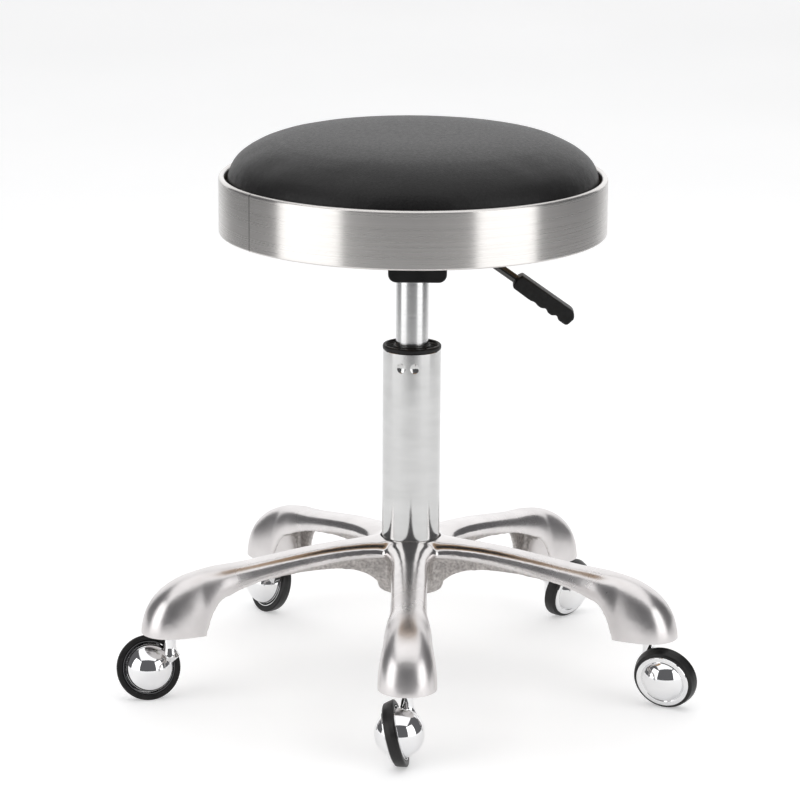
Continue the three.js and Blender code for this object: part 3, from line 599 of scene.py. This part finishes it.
def add_leg(bm, stations, turn):
    """Lofts one leg outward and turns it into place."""
    ring = [bm.verts.new((stations[0] * MM, y * MM, z * MM)) for y, z in leg_section(stations[0])]
    for a, b in zip(ring, ring[1:] + ring[:1]):
        bm.edges.new((a, b))
    bm.faces.new(ring)
    placed = list(ring)
    for along in stations[1:]:
        ring = pull_ring(bm, ring)
        for vert, (y, z) in zip(ring, leg_section(along)):
            vert.co = Vector((along, y, z)) * MM
        placed += ring
    bm.faces.new(ring)
    bmesh.ops.rotate(bm, verts=placed, cent=(0, 0, 0), matrix=Matrix.Rotation(turn, 3, "Z"))


# %% [markdown]
# Five lofts and a boss overlap at the hub. A voxel remesh melts them into one skin, and smoothing rounds that
# skin the way polishing rounds a casting. The feet are then cut flat, and the bores are cut last, so that
# their edges stay crisp.

# %% Base casting
VOXEL = 1.5
SMOOTHING = 12
COLUMN_BORE = 25.35
SOCKET_HOLE = 8.5            # radius of the hole in a foot
STATIONS = [0, 10, 20, 26, 31, 35.9, 36.1, 41, 47, 54, 62, 72, 84, 97, 110, 123, 136, 148, 158, 166, 173, 179,
            184, 187.5, 189, 194, 200.9, 201.1, 207, 212, 217, 222, 227, 231, 234.5, 237, 239, 240.4]


def leg_turn(number):
    """Leg 1 points to the front, and the others follow anticlockwise seen from above."""
    return -math.pi / 2 + (number - 1) * 2 * math.pi / LEGS


def build_casting():
    bm = plug(HUB_RADIUS, HUB_BOTTOM, HUB_TOP, 64)
    for number in range(1, LEGS + 1):
        add_leg(bm, STATIONS, leg_turn(number))
    bmesh.ops.recalc_face_normals(bm, faces=bm.faces)
    casting = as_object(bm, "polished_base", cast_aluminium)
    remesh(casting, VOXEL)
    return casting


def polish_casting(casting):
    """Rounds the skin and cuts the feet flat."""
    bm = smooth_skin(casting, SMOOTHING)
    sliced = bmesh.ops.bisect_plane(
        bm, geom=bm.verts[:] + bm.edges[:] + bm.faces[:], dist=0.001 * MM,
        plane_co=(0, 0, FOOT_UNDERSIDE * MM), plane_no=(0, 0, -1), clear_outer=True)
    rims = [e for e in sliced["geom_cut"] if isinstance(e, bmesh.types.BMEdge)]
    bmesh.ops.holes_fill(bm, edges=rims, sides=0)
    bm.to_mesh(casting.data)
    bm.free()


def bore_casting(casting):
    """The column's tapered seat, with a turned lip at its mouth, and a blind hole for each castor socket."""
    cut(casting, turned([
        (0, HUB_BOTTOM - 1), (COLUMN_BORE - 1.2, HUB_BOTTOM - 1), (COLUMN_BORE, HUB_TOP - 1.4),
        (COLUMN_BORE + 1.8, HUB_TOP + 0.6), (COLUMN_BORE + 1.8, HUB_TOP + 4), (0, HUB_TOP + 4)], 96))
    for number in range(1, LEGS + 1):
        place = Matrix.Rotation(leg_turn(number), 4, "Z") @ Matrix.Translation((STEM_CIRCLE * MM, 0, 0))
        cut(casting, plug(SOCKET_HOLE, 57, 90, 32, place))


base_casting = build_casting()
polish_casting(base_casting)
bore_casting(base_casting)
print("casting:", len(base_casting.data.polygons), "faces")

# %% [markdown]
# The sand attribute is 1 on the webs and in the hollows, and 0 on the polished tops. A vertex belongs to the
# nearest leg, and what counts is its height against that leg's step, and whether it lies well under the leg's
# skin and inside its walls.

# %% Paint the raw faces
RAW_END = 140.0              # the webs are polished from here to the feet
RAW_FADE = 12.0


def raw_share(point):
    """How raw the casting is at a point, from 0 to 1."""
    radius = math.hypot(point.x, point.y) / MM
    azimuth = math.atan2(point.y, point.x) - leg_turn(1)
    sector = 2 * math.pi / LEGS
    off = (azimuth + sector / 2) % sector - sector / 2
    along, across, height = radius * math.cos(off), abs(radius * math.sin(off)), point.z / MM
    below = (step(along) + 0.8 - height) / 2.0
    web = min(max(below, 0), 1) * min(max((RAW_END - along) / RAW_FADE, 0), 1)
    wide, square = leg_half_width(along), squareness(along)
    arch = max(1 - (min(across, wide) / wide)**square, 0)**(1 / square)
    skin = step(along) + (crest(along) - step(along)) * arch
    in_hollow = (HOLLOW_START < along < HOLLOW_END and height < skin - 0.6 * CASTING_WALL
                 and across < wide - web_inset(along) - 0.6 * CASTING_WALL)
    return max(web, 1.0 if in_hollow else 0.0)


def paint_casting(casting):
    sand = casting.data.attributes.new("sand", "FLOAT", "POINT")
    shares = [raw_share(v.co) for v in casting.data.vertices]
    sand.data.foreach_set("value", shares)
    print("raw share of the casting:", round(sum(shares) / len(shares), 2))


paint_casting(base_casting)
install(base_casting, "base", ["base_casting"], sharp=45)

# %% [markdown]
# ## The column and the lift
# The column is a tube with two pressed dimples that hold its inner sleeve. Each dimple is a ball's print, so
# a ball is cut out of the wall. The black collar on top has a shallow ring of ribs round the lift.

# %% Column tube
COLUMN_RADIUS = 25.0
COLUMN_TOP = 295.2
DIMPLE_AZIMUTHS = (-21, 6)   # degrees from the front
DIMPLE_RADIUS = 4.4
DIMPLE_DEPTH = 1.35
DIMPLE_DROP = 12.5


def build_column():
    column = as_object(turned([
        (5.3, HUB_BOTTOM), (23.8, HUB_BOTTOM), (COLUMN_RADIUS, HUB_TOP), (COLUMN_RADIUS, COLUMN_TOP - 0.5),
        (COLUMN_RADIUS - 0.5, COLUMN_TOP), (COLUMN_RADIUS - 1.5, COLUMN_TOP), (COLUMN_RADIUS - 1.5, HUB_TOP),
        (22.3, HUB_BOTTOM + 3), (5.3, HUB_BOTTOM + 3)], 128), "chromed_column", column_chrome)
    print_radius = (DIMPLE_RADIUS**2 + DIMPLE_DEPTH**2) / (2 * DIMPLE_DEPTH)
    for azimuth in DIMPLE_AZIMUTHS:
        angle = math.radians(azimuth - 90)
        reach = COLUMN_RADIUS - DIMPLE_DEPTH + print_radius
        centre = Vector((reach * math.cos(angle), reach * math.sin(angle), COLUMN_TOP - DIMPLE_DROP)) * MM
        ball = bmesh.new()
        bmesh.ops.create_uvsphere(ball, u_segments=64, v_segments=48, radius=print_radius * MM,
                                  matrix=Matrix.Translation(centre))
        cut(column, ball)
    return column


column = install(build_column(), "base", ["column_tube"], sharp=25)
print("column:", len(column.data.polygons), "faces")

# %% Guide collar
COLLAR_HEIGHT = 4.1
COLLAR_RIBS = 24
RIB_SIZE = (5.2, 0.9, 0.9)   # out from the axis, round it and up


def build_collar():
    top = COLUMN_TOP + COLLAR_HEIGHT
    collar = turned([
        (14.4, COLUMN_TOP + 0.3), (25.0, COLUMN_TOP + 0.3), (25.2, COLUMN_TOP + 1.2), (25.2, top - 1.0),
        (24.4, top), (22.6, top), (21.8, top - 1.7), (16.2, top - 1.7), (15.8, top - 0.6),
        (14.4, top - 0.6)], 96)
    soften(collar, 0.25, 2)
    for i in range(COLLAR_RIBS):
        place = (Matrix.Rotation(2 * math.pi * i / COLLAR_RIBS, 4, "Z")
                 @ Matrix.Translation(Vector((19.0, 0, top - 1.5)) * MM)
                 @ Matrix.Diagonal((*(Vector(RIB_SIZE) * MM), 1)))
        bmesh.ops.create_cube(collar, size=1.0, matrix=place)
    return as_object(collar, "ribbed_collar", moulded_black)


install(build_collar(), "base", ["guide_collar"])

# %% Gas cylinder
CYLINDER_RADIUS = 14.0
CYLINDER_BOTTOM = 150.0
CYLINDER_TOP = 378.0
VALVE_BORE = 3.3


def build_cylinder():
    inner, head = CYLINDER_RADIUS - 2, CYLINDER_TOP - 10
    tube = turned([
        (inner, CYLINDER_BOTTOM), (CYLINDER_RADIUS, CYLINDER_BOTTOM), (CYLINDER_RADIUS, CYLINDER_TOP - 20),
        (CYLINDER_RADIUS - 1, CYLINDER_TOP), (VALVE_BORE, CYLINDER_TOP), (VALVE_BORE, head), (inner, head)], 96)
    return as_object(soften(tube, 0.4, 2), "gas_lift_tube", lift_chrome)


install(build_cylinder(), "seat", ["gas_cylinder"])
print("column, collar and lift are in place")

# %% [markdown]
# ## The seat
# The band is a strip rolled into a ring, with a tube-like roll at its top edge and a lip turned in below. It
# is one outline spun round the seat, with arcs for the roll and for the bend at the bottom.

# %% Seat band
SEAT_RADIUS = 165.5
BAND_BOTTOM = 397.9
BAND_TOP = 447.0
BAND_WALL = 1.2
ROLL_RADIUS = 2.6
ROLL_TURN = 190              # degrees
BEND_RADIUS = 1.6
LIP_WIDTH = 7


def build_band():
    roll_r, roll_z = SEAT_RADIUS - ROLL_RADIUS, BAND_TOP - ROLL_RADIUS
    lip_r, lip_top = SEAT_RADIUS - LIP_WIDTH, BAND_BOTTOM + BAND_WALL
    outline = [(lip_r, BAND_BOTTOM)]
    outline += arc(SEAT_RADIUS - BEND_RADIUS, BAND_BOTTOM + BEND_RADIUS, BEND_RADIUS, -90, 0, 5)
    outline += arc(roll_r, roll_z, ROLL_RADIUS, 0, ROLL_TURN, 14)
    outline += arc(roll_r, roll_z, ROLL_RADIUS - BAND_WALL, ROLL_TURN, 0, 10)
    outline += [(SEAT_RADIUS - BAND_WALL, lip_top), (lip_r, lip_top)]
    return as_object(turned(outline, 180), "brushed_band", brushed_steel)


band = install(build_band(), "seat", ["seat_band"], sharp=50)
print("band:", len(band.data.polygons), "faces")

# %% [markdown]
# The cushion is foam under a stretched cover. It starts as a dome that is a little too small, is remeshed
# evenly, and is blown up as cloth with pressure inside, so that the cover gets the slightly uneven swell of
# real padding. How far each point may move is capped: freely above the rim, hardly at all where the band
# holds it.

# %% Cushion
CUSHION_RADIUS = 159.0
CUSHION_BOTTOM = 411.8
SLACK = 2.2                  # the dome starts this much too small
RIM_FADE = 10.0              # the cover is free from this far above the rim
COVER_PRESSURE = 4.0
CUSHION_VOXEL = 5.0
SIM_FRAMES = 20
COVER_SMOOTHING = 12

dome = curve_through([(0, 36.6), (60, 36.0), (80, 35.2), (100, 33.4), (120, 30.0), (130, 27.2), (140, 23.0),
                      (150, 17.4), (155, 13.8), (159, 9.4), (160.6, 5.0)])


def build_dome():
    outline = [(0, CUSHION_BOTTOM), (CUSHION_RADIUS - 6, CUSHION_BOTTOM), (CUSHION_RADIUS, CUSHION_BOTTOM + 6),
               (CUSHION_RADIUS, BAND_TOP - 2), (CUSHION_RADIUS + 1.4, BAND_TOP + 2)]
    for radius in (159.6, 157.5, 155, 152, 148, 143, 136, 128, 118, 104, 85, 60, 30, 0):
        outline.append((radius, BAND_TOP + dome(radius)))
    return as_object(turned(outline, 96), "padded_seat", black_cover)


def above_rim(place):
    """How free the cover is at a point: 0 up to the rim, and 1 well above it."""
    return min(max((place.z / MM - BAND_TOP) / RIM_FADE, 0), 1)


def shrink(made, depth):
    """Moves the skin above the rim inward along its normals."""
    mesh = made.data
    for vert, normal in zip(mesh.vertices, [v.normal.copy() for v in mesh.vertices]):
        vert.co -= normal * depth * MM * above_rim(vert.co)


def swell(made):
    """Blows the cover up as cloth and caps how far each point moves."""
    before = [v.co.copy() for v in made.data.vertices]
    cloth = made.modifiers.new("cloth", "CLOTH")
    cloth.settings.use_pressure = True
    cloth.settings.uniform_pressure_force = COVER_PRESSURE
    cloth.settings.effector_weights.gravity = 0.0
    cloth.point_cache.frame_start = 1
    cloth.point_cache.frame_end = SIM_FRAMES
    for number in range(1, SIM_FRAMES + 1):
        scene.frame_set(number)
    settle(made)
    moves = []
    for vert, old in zip(made.data.vertices, before):
        limit = (0.1 + 1.25 * SLACK * above_rim(old)) * MM
        move = vert.co - old
        if move.length > limit:
            move = move * (limit / move.length)
        vert.co = old + move
        moves.append(move.length / MM)
    scene.frame_set(1)
    average = sum(moves) / len(moves)
    print("the cover moved", round(max(moves), 1), "mm at most and", round(average, 1), "on average")


def build_cushion():
    cushion = build_dome()
    shrink(cushion, SLACK)
    remesh(cushion, CUSHION_VOXEL)
    swell(cushion)
    bm = smooth_skin(cushion, COVER_SMOOTHING)
    bm.to_mesh(cushion.data)
    bm.free()
    finer = cushion.modifiers.new("finer", "SUBSURF")
    finer.levels = finer.render_levels = 1
    return cushion


cushion = build_cushion()
install(cushion, "seat", ["cushion"], sharp=60)
print("cushion:", len(cushion.data.polygons), "faces before subdivision")

# %% [markdown]
# ## Under the seat
# The mechanism is a pressed steel plate with a folded box below it. The lever leaves the box on the right,
# runs level for a short way, and bends down to a moulded grip with finger scallops.

# %% Mechanism
MECH_LEFT = 20.5
MECH_RIGHT = 29.5
MECH_LENGTH = 70.0
MECH_BOTTOM = 360.0
MECH_WALL = 2.5
PLATE_TOP = 399.1
PLATE_THICK = 3.0
PLATE_SIZE = (150.0, 170.0)
BOLT_HOLE = 3.4
BOLT_PLACES = [(x, y) for x in (-58, 58) for y in (-68, 68)]


def rounded_block(low, high, corner, axis):
    """A box whose four edges along one axis are rounded, in millimetres."""
    bm = bmesh.new()
    low, high = Vector(low), Vector(high)
    size = high - low
    place = Matrix.Translation((low + high) * 0.5 * MM) @ Matrix.Diagonal((*(size * MM), 1))
    bmesh.ops.create_cube(bm, size=1.0, matrix=place)
    along = [e for e in bm.edges if abs((e.verts[0].co - e.verts[1].co).normalized()[axis]) > 0.99]
    return bevel(bm, along, corner, 6)


def build_mechanism():
    half_x, half_y, half_box = PLATE_SIZE[0] / 2, PLATE_SIZE[1] / 2, MECH_LENGTH / 2
    plate_bottom = PLATE_TOP - PLATE_THICK
    plate = rounded_block((-half_x, -half_y, plate_bottom), (half_x, half_y, PLATE_TOP), 12, 2)
    mechanism = as_object(soften(plate, 0.5, 2, 60), "pressed_mechanism", steel_paint)
    box = rounded_block((-MECH_LEFT, -half_box, MECH_BOTTOM), (MECH_RIGHT, half_box, PLATE_TOP - 1), 7, 1)
    cut(mechanism, soften(box, 1.2, 3, 60), "UNION")
    cut(mechanism, rounded_block(
        (-MECH_LEFT + MECH_WALL, -half_box + MECH_WALL, MECH_BOTTOM + MECH_WALL),
        (MECH_RIGHT - MECH_WALL, half_box - MECH_WALL, plate_bottom), 5, 1))
    socket_low, socket_high = MECH_BOTTOM + 0.4, MECH_BOTTOM + 14
    socket = [(14.6, socket_low), (18, socket_low), (18, socket_high), (14.6, socket_high)]
    cut(mechanism, turned(socket, 64), "UNION")
    cut(mechanism, turned([(0, 350), (14.5, 350), (14.2, CYLINDER_TOP), (0, CYLINDER_TOP)], 64))
    cut(mechanism, rounded_block((20, -5.8, 377.5), (36, 5.8, plate_bottom), 3, 0))
    for x, y in BOLT_PLACES:
        cut(mechanism, plug(BOLT_HOLE, 390, 402, 24, Matrix.Translation((x * MM, y * MM, 0))))
    return mechanism


mechanism = install(build_mechanism(), "seat", ["mechanism_plate"])
print("mechanism:", len(mechanism.data.polygons), "faces")

# %% [markdown]
# The lever rod is a round section pulled along a path, bent where the lever turns down. The grip is its side
# view made solid: a straight top with broad chamfers, three scallops below and a blunt, rounded end.

# %% Lever
pivot = Vector(joints["lever_lift"]["pos_m"]) / MM
LEVER_RADIUS = 3.8
LEVER_BEND = 46.5            # from the column's axis to the bend
LEVER_DROP = math.radians(35)
LEVER_REACH = 88.4           # from the column's axis to the grip
BEND_LENGTH = 12.0           # the bend starts and ends this far from its corner
BOSS_RADIUS = 5.0
PIN_BORE = 2.8
GRIP_LENGTH = 60.0
GRIP_HEIGHT = 14.0
GRIP_WIDTH = 17.0
GRIP_CHAMFER = 2.3
GRIP_HOLD = 8.0              # length of rod inside the grip
SCALLOPS = [(24, 0.9), (35, 1.7), (46, 2.2)]   # distance along the grip and depth
SCALLOP_STEPS = 4
SCALLOP_REACH = 4.2          # from a scallop's middle to its end

grip_way = Vector((math.cos(LEVER_DROP), 0, -math.sin(LEVER_DROP)))
grip_start = Vector((LEVER_REACH, 0, pivot.z - (LEVER_REACH - LEVER_BEND) * math.tan(LEVER_DROP)))


def bend_points(steps=8):
    """The rod's middle line: level, round the bend, then straight down into the grip."""
    corner = Vector((LEVER_BEND, 0, pivot.z))
    first, last = corner - Vector((BEND_LENGTH, 0, 0)), corner + grip_way * BEND_LENGTH
    points = [Vector((-3, 0, pivot.z)), Vector((pivot.x, 0, pivot.z))]
    for i in range(steps + 1):
        t = i / steps
        points.append(first * (1 - t)**2 + corner * 2 * t * (1 - t) + last * t**2)
    return points + [grip_start + grip_way * GRIP_HOLD]


def build_rod():
    points = bend_points()
    bm = bmesh.new()
    ring = bmesh.ops.create_circle(bm, cap_ends=True, segments=24, radius=LEVER_RADIUS * MM)["verts"]
    ring = sorted(ring, key=lambda v: math.atan2(v.co.y, v.co.x))
    sections = [v.co.copy() for v in ring]
    for i, point in enumerate(points):
        way = (points[min(i + 1, len(points) - 1)] - points[max(i - 1, 0)]).normalized()
        turn = Vector((0, 0, 1)).rotation_difference(way).to_matrix()
        if i:
            ring = pull_ring(bm, ring)
        for vert, flat in zip(ring, sections):
            vert.co = turn @ flat + point * MM
    bm.faces.new(ring)
    bmesh.ops.recalc_face_normals(bm, faces=bm.faces)
    rod = as_object(soften(bm, 0.4, 2, 60), "lever_bar", lever_paint)
    on_pin = Matrix.Translation(pivot * MM) @ Matrix.Rotation(math.pi / 2, 4, "X")
    cut(rod, soften(plug(BOSS_RADIUS, -6, 6, 32, on_pin), 0.4, 2), "UNION")
    cut(rod, plug(PIN_BORE, -9, 9, 24, on_pin))
    return rod


install(build_rod(), "lever", ["lever_rod"])


def grip_outline():
    """Side view of the grip in millimetres, along it and up, anticlockwise from its lower heel."""
    top, end = GRIP_HEIGHT / 2, GRIP_LENGTH
    outline = [(0, -top + 2.2), (2.2, -top + 0.4), (16, -top)]
    for centre, depth in SCALLOPS:
        for i in range(-SCALLOP_STEPS, SCALLOP_STEPS + 1):
            share = i / SCALLOP_STEPS
            rise = depth * (0.5 + 0.5 * math.cos(math.pi * share))
            outline.append((centre + share * SCALLOP_REACH, -top + rise))
    outline += [(x, -top + z) for x, z in arc(end - 4.5, 3.4, 3.4, -90, -20, 4)]
    outline += arc(end - 7.5, top - 7.5, 7.5, 10, 90, 7)
    return outline + [(3, top), (1.6, top - 0.6), (0.8, top - 2.6), (0, top - 3.2)]


def build_grip():
    bm = bmesh.new()
    side = bm.faces.new([bm.verts.new((x * MM, -GRIP_WIDTH / 2 * MM, z * MM)) for x, z in grip_outline()])
    pulled = bmesh.ops.extrude_face_region(bm, geom=[side])["geom"]
    far_side = [v for v in pulled if isinstance(v, bmesh.types.BMVert)]
    bmesh.ops.translate(bm, verts=far_side, vec=(0, GRIP_WIDTH * MM, 0))
    bmesh.ops.recalc_face_normals(bm, faces=bm.faces)
    folds = [e for e in bm.edges if e.calc_face_angle(0) > math.radians(60)]
    rims = [e for e in folds if abs(e.verts[0].co.y - e.verts[1].co.y) < 1e-6]
    bevel(bm, rims, GRIP_CHAMFER, 2, profile=0.35)
    soften(bm, 0.5, 2, 32)
    along_grip = Matrix.Translation(grip_start * MM) @ Matrix.Rotation(LEVER_DROP, 4, "Y")
    bm.transform(along_grip)
    grip = as_object(bm, "finger_grip", moulded_black)
    on_rod = along_grip @ Matrix.Rotation(math.pi / 2, 4, "Y")
    cut(grip, plug(LEVER_RADIUS + 0.3, -6, GRIP_HOLD + 0.3, 32, on_rod))
    return grip


grip = install(build_grip(), "lever", ["lever_grip"], sharp=35)
print("grip:", len(grip.data.polygons), "faces")

# %% [markdown]
# ## The castors
# A ball castor is half a ball on each side of a thin tyre. One half is the hood, which hangs from the stem
# and doesn't roll, and the other is the domed wheel. The axle climbs towards the hood, so the tyre leans. The
# joints say where each castor stands, so all five are made by one loop from the same outlines.

# %% Castor outlines
BALL_RADIUS = 20.9
BALL_OFFSET = 3.5            # ball centre from the tyre's middle, towards the hood
DOME_EDGE = 18.6
TYRE_INNER = 23.4
TREAD_HALF = 5.0
SHELL = 1.5                  # wall of the hood and the dome
AXLE_BORE = 3.3
HOOD_OVERLAP = 1.0           # the hood reaches this far past the tyre's middle


def build_tyre(lean, height, place):
    """A ring whose tread is a cone, so that its lowest line lies flat on the floor, with a thin mould line."""
    middle, edge = height / math.cos(lean), TREAD_HALF - 1.0

    def tread(offset, raised=0.0):
        return middle + offset * math.tan(lean) + raised, offset

    outline = [(TYRE_INNER, -TREAD_HALF), tread(-TREAD_HALF, -1.5), tread(-edge - 0.35, -0.3), tread(-edge + 0.4),
               tread(-0.35), tread(0, 0.14), tread(0.35), tread(edge - 0.4), tread(edge + 0.35, -0.3),
               tread(TREAD_HALF, -1.5), (TYRE_INNER + 0.6, TREAD_HALF), (TYRE_INNER, TREAD_HALF - 0.6)]
    return as_object(turned(outline, 96, place), "tyre", tyre_rubber)


def build_wheel(place):
    flange = -TREAD_HALF - 1.2
    dome_angle = math.degrees(math.asin(DOME_EDGE / BALL_RADIUS))
    outer = arc(0, BALL_OFFSET, BALL_RADIUS, -90, -90 + dome_angle, 20)
    inner = arc(0, BALL_OFFSET, BALL_RADIUS - SHELL, -90 + dome_angle - 3, -74, 12)
    barrel = TYRE_INNER - 0.3
    crown = BALL_OFFSET - BALL_RADIUS
    outline = outer + [
        (DOME_EDGE + 0.25, flange + 0.5), (DOME_EDGE + 0.8, flange + 0.1), (DOME_EDGE + 1.3, flange - 0.15),
        (TYRE_INNER - 1.0, flange - 0.15), (TYRE_INNER - 0.15, flange + 0.25),
        (TYRE_INNER + 0.1, -TREAD_HALF - 0.35), (barrel, -TREAD_HALF - 0.3), (barrel, TREAD_HALF - 0.9),
        (barrel - 0.35, TREAD_HALF + 0.1), (barrel - 0.9, TREAD_HALF + 0.1), (barrel - 1.3, TREAD_HALF - 0.7),
        (barrel - 1.5, 0.5), (barrel - 2.2, 0.3), (barrel - 2.4, -0.4), (barrel - 2.4, flange + SHELL),
    ] + inner + [(5.6, -TREAD_HALF), (AXLE_BORE, -TREAD_HALF), (AXLE_BORE, crown + 3.7), (0, crown + 3.7)]
    outline[0] = (0, crown)
    return as_object(turned(outline, 96, place), "domed_wheel", mirror_chrome)


def build_hood(place, ball, top):
    """The still half of the ball, with the neck that rises from it to the stem."""
    inner_radius = BALL_RADIUS - SHELL
    mouth = -HOOD_OVERLAP - BALL_OFFSET
    opening = math.degrees(math.asin(mouth / BALL_RADIUS))
    inner_opening = math.degrees(math.asin(mouth / inner_radius))
    bore_end = BALL_OFFSET + inner_radius - 0.4
    outline = [(0, BALL_OFFSET + BALL_RADIUS)] + arc(0, BALL_OFFSET, BALL_RADIUS, 89, opening, 30)
    outline += arc(0, BALL_OFFSET, inner_radius, inner_opening, 74, 20)
    outline += [(5.4, 2), (AXLE_BORE, 2), (AXLE_BORE, bore_end), (0, bore_end)]
    hood = as_object(turned(outline, 96, place), "hood", mirror_chrome)
    flare = [(0, 4), (2.6, 4), (8.6, 11.0), (7.0, 13.2), (5.9, 15.6), (5.3, 18.5), (5.2, 21)]
    neck_outline = [(r, ball.z / MM + z) for r, z in flare] + [(5.2, top - 0.3), (4.9, top), (0, top)]
    neck = as_object(turned(neck_outline, 64), "neck", mirror_chrome)
    hollow = bmesh.new()
    bmesh.ops.create_uvsphere(hollow, u_segments=64, v_segments=32, radius=(inner_radius + 0.4) * MM,
                              matrix=Matrix.Translation(ball))
    cut(neck, hollow)
    cut(hood, neck, "UNION")
    return hood


# %% Five castors
def castor_places(number):
    """Where the castor's stem and wheel are, the way its axle points and how far it leans."""
    stem = Vector(joints[f"castor_swivel_{number}"]["pos_m"])
    wheel = Vector(joints[f"wheel_spin_{number}"]["pos_m"])
    axle = Vector(joints[f"wheel_spin_{number}"]["axis"]).normalized()
    return stem, wheel, axle, math.asin(axle.z)


def build_castor(number):
    stem, wheel, axle, lean = castor_places(number)
    turn = Matrix.Rotation(math.atan2(axle.y, axle.x), 4, "Z")
    upright = Matrix.Translation((stem.x, stem.y, 0)) @ turn
    on_axle = Matrix.Translation(wheel) @ turn @ Matrix.Rotation(math.pi / 2 - lean, 4, "Y")
    back = upright.inverted()
    neck_top = FOOT_UNDERSIDE - 1.6
    hood = build_hood(back @ on_axle, back @ (wheel + axle * BALL_OFFSET * MM), neck_top)
    hood.data.transform(upright)
    flange_top = FOOT_UNDERSIDE - 0.6
    stem_bm = turned([
        (0, neck_top + 0.3), (8.0, neck_top + 0.3), (8.2, neck_top + 0.6), (8.2, flange_top), (5, flange_top),
        (5, FOOT_UNDERSIDE + 24), (4, FOOT_UNDERSIDE + 26), (0, FOOT_UNDERSIDE + 26)], 48, upright)
    axle_bm = turned([(0, -12.4), (2.6, -12.4), (3, -12), (3, 20.5), (2.6, 20.9), (0, 20.9)], 32, on_axle)
    pieces = [
        (hood, "hood", "castor", "mirror_chrome", "castor_hood"),
        (as_object(stem_bm, "stem", zinc), "stem", "castor", "zinc_steel", "castor_stem"),
        (as_object(axle_bm, "axle", zinc), "axle", "castor", "zinc_steel", "castor_axle"),
        (build_wheel(on_axle), "domed_wheel", "wheel", "mirror_chrome", "castor_wheel"),
        (build_tyre(lean, wheel.z / MM, on_axle), "tyre", "wheel", "black_tyre", "castor_tyre"),
    ]
    for piece, name, body, slot, node_name in pieces:
        piece.name = piece.data.name = f"{name}_{number}"
        install(piece, f"{body}_{number}", [f"{node_name}_{number}"], sharp=32)


for number in range(1, LEGS + 1):
    build_castor(number)
print(LEGS, "castors")

# %% [markdown]
# ## Carried-over pieces
# The small hidden pieces keep their mechanical shapes. Each takes the finish that the real piece has.

# %% Finishes of the carried-over pieces
KEPT_FINISHES = {
    "seat_board": plywood, "guide_sleeve": moulded_black, "thrust_bearing": zinc, "end_washer": zinc,
    "retaining_clip": zinc, "piston_rod": lift_chrome, "piston": tyre_rubber, "cylinder_gland": tyre_rubber,
    "valve_pin": zinc, "lever_pivot_pin": zinc,
    **{f"seat_bolt_{number}": zinc for number in range(1, 5)},
    **{f"castor_socket_{number}": moulded_black for number in range(1, LEGS + 1)},
}
for name, finish_used in KEPT_FINISHES.items():
    mesh = nodes[name].data
    mesh.materials.clear()
    mesh.materials.append(finish_used)
print(len(KEPT_FINISHES), "kept nodes")

# %% [markdown]
# ## The floor
# A plain pale floor catches the soft shadows. It glows a little, the way a studio sweep is lit from behind.
# Mirrors would show its far ends, so reflections see a roll of white paper instead. It is as wide as paper
# rolls are and runs from in front of the stool back to the backdrop. Past its edges they see the dark room
# and the soft boxes.

# %% Floor
FLOOR_SIZE = 30.0            # metres, like the paper's sizes
FLOOR_GLOW = 0.36
PAPER_WIDTH = 2.72
PAPER_FRONT = -1.2
PAPER_BACK = 6.4
PAPER_LIFT = 0.3             # millimetres above the floor, so that the floor doesn't shade it


def pale_sheet(name, low, high, lift):
    """A flat rectangle on the ground between two corners, in metres."""
    bm = bmesh.new()
    middle = Vector(((low[0] + high[0]) / 2, (low[1] + high[1]) / 2, lift * MM))
    size = Vector((high[0] - low[0], high[1] - low[1], 1))
    bmesh.ops.create_grid(bm, x_segments=2, y_segments=2, size=0.5,
                          matrix=Matrix.Translation(middle) @ Matrix.Diagonal((*size, 1)))
    material, _, _ = start_finish(name, (0.80, 0.80, 0.80), (0.82, 0.82, 0.82), (0.85, 0.95), scale=2.0,
                                  Emission_Color=(1, 1, 1, 1), Emission_Strength=FLOOR_GLOW)
    return as_object(bm, name, material)


half_floor = FLOOR_SIZE / 2
floor = pale_sheet("floor", (-half_floor, -half_floor), (half_floor, half_floor), 0)
floor.visible_glossy = False
paper = pale_sheet("paper", (-PAPER_WIDTH / 2, PAPER_FRONT), (PAPER_WIDTH / 2, PAPER_BACK), PAPER_LIFT)
paper.visible_camera = False
paper.visible_diffuse = False
paper.visible_shadow = False
print("floor and paper are down")

# %% Done
print("the stool is built")
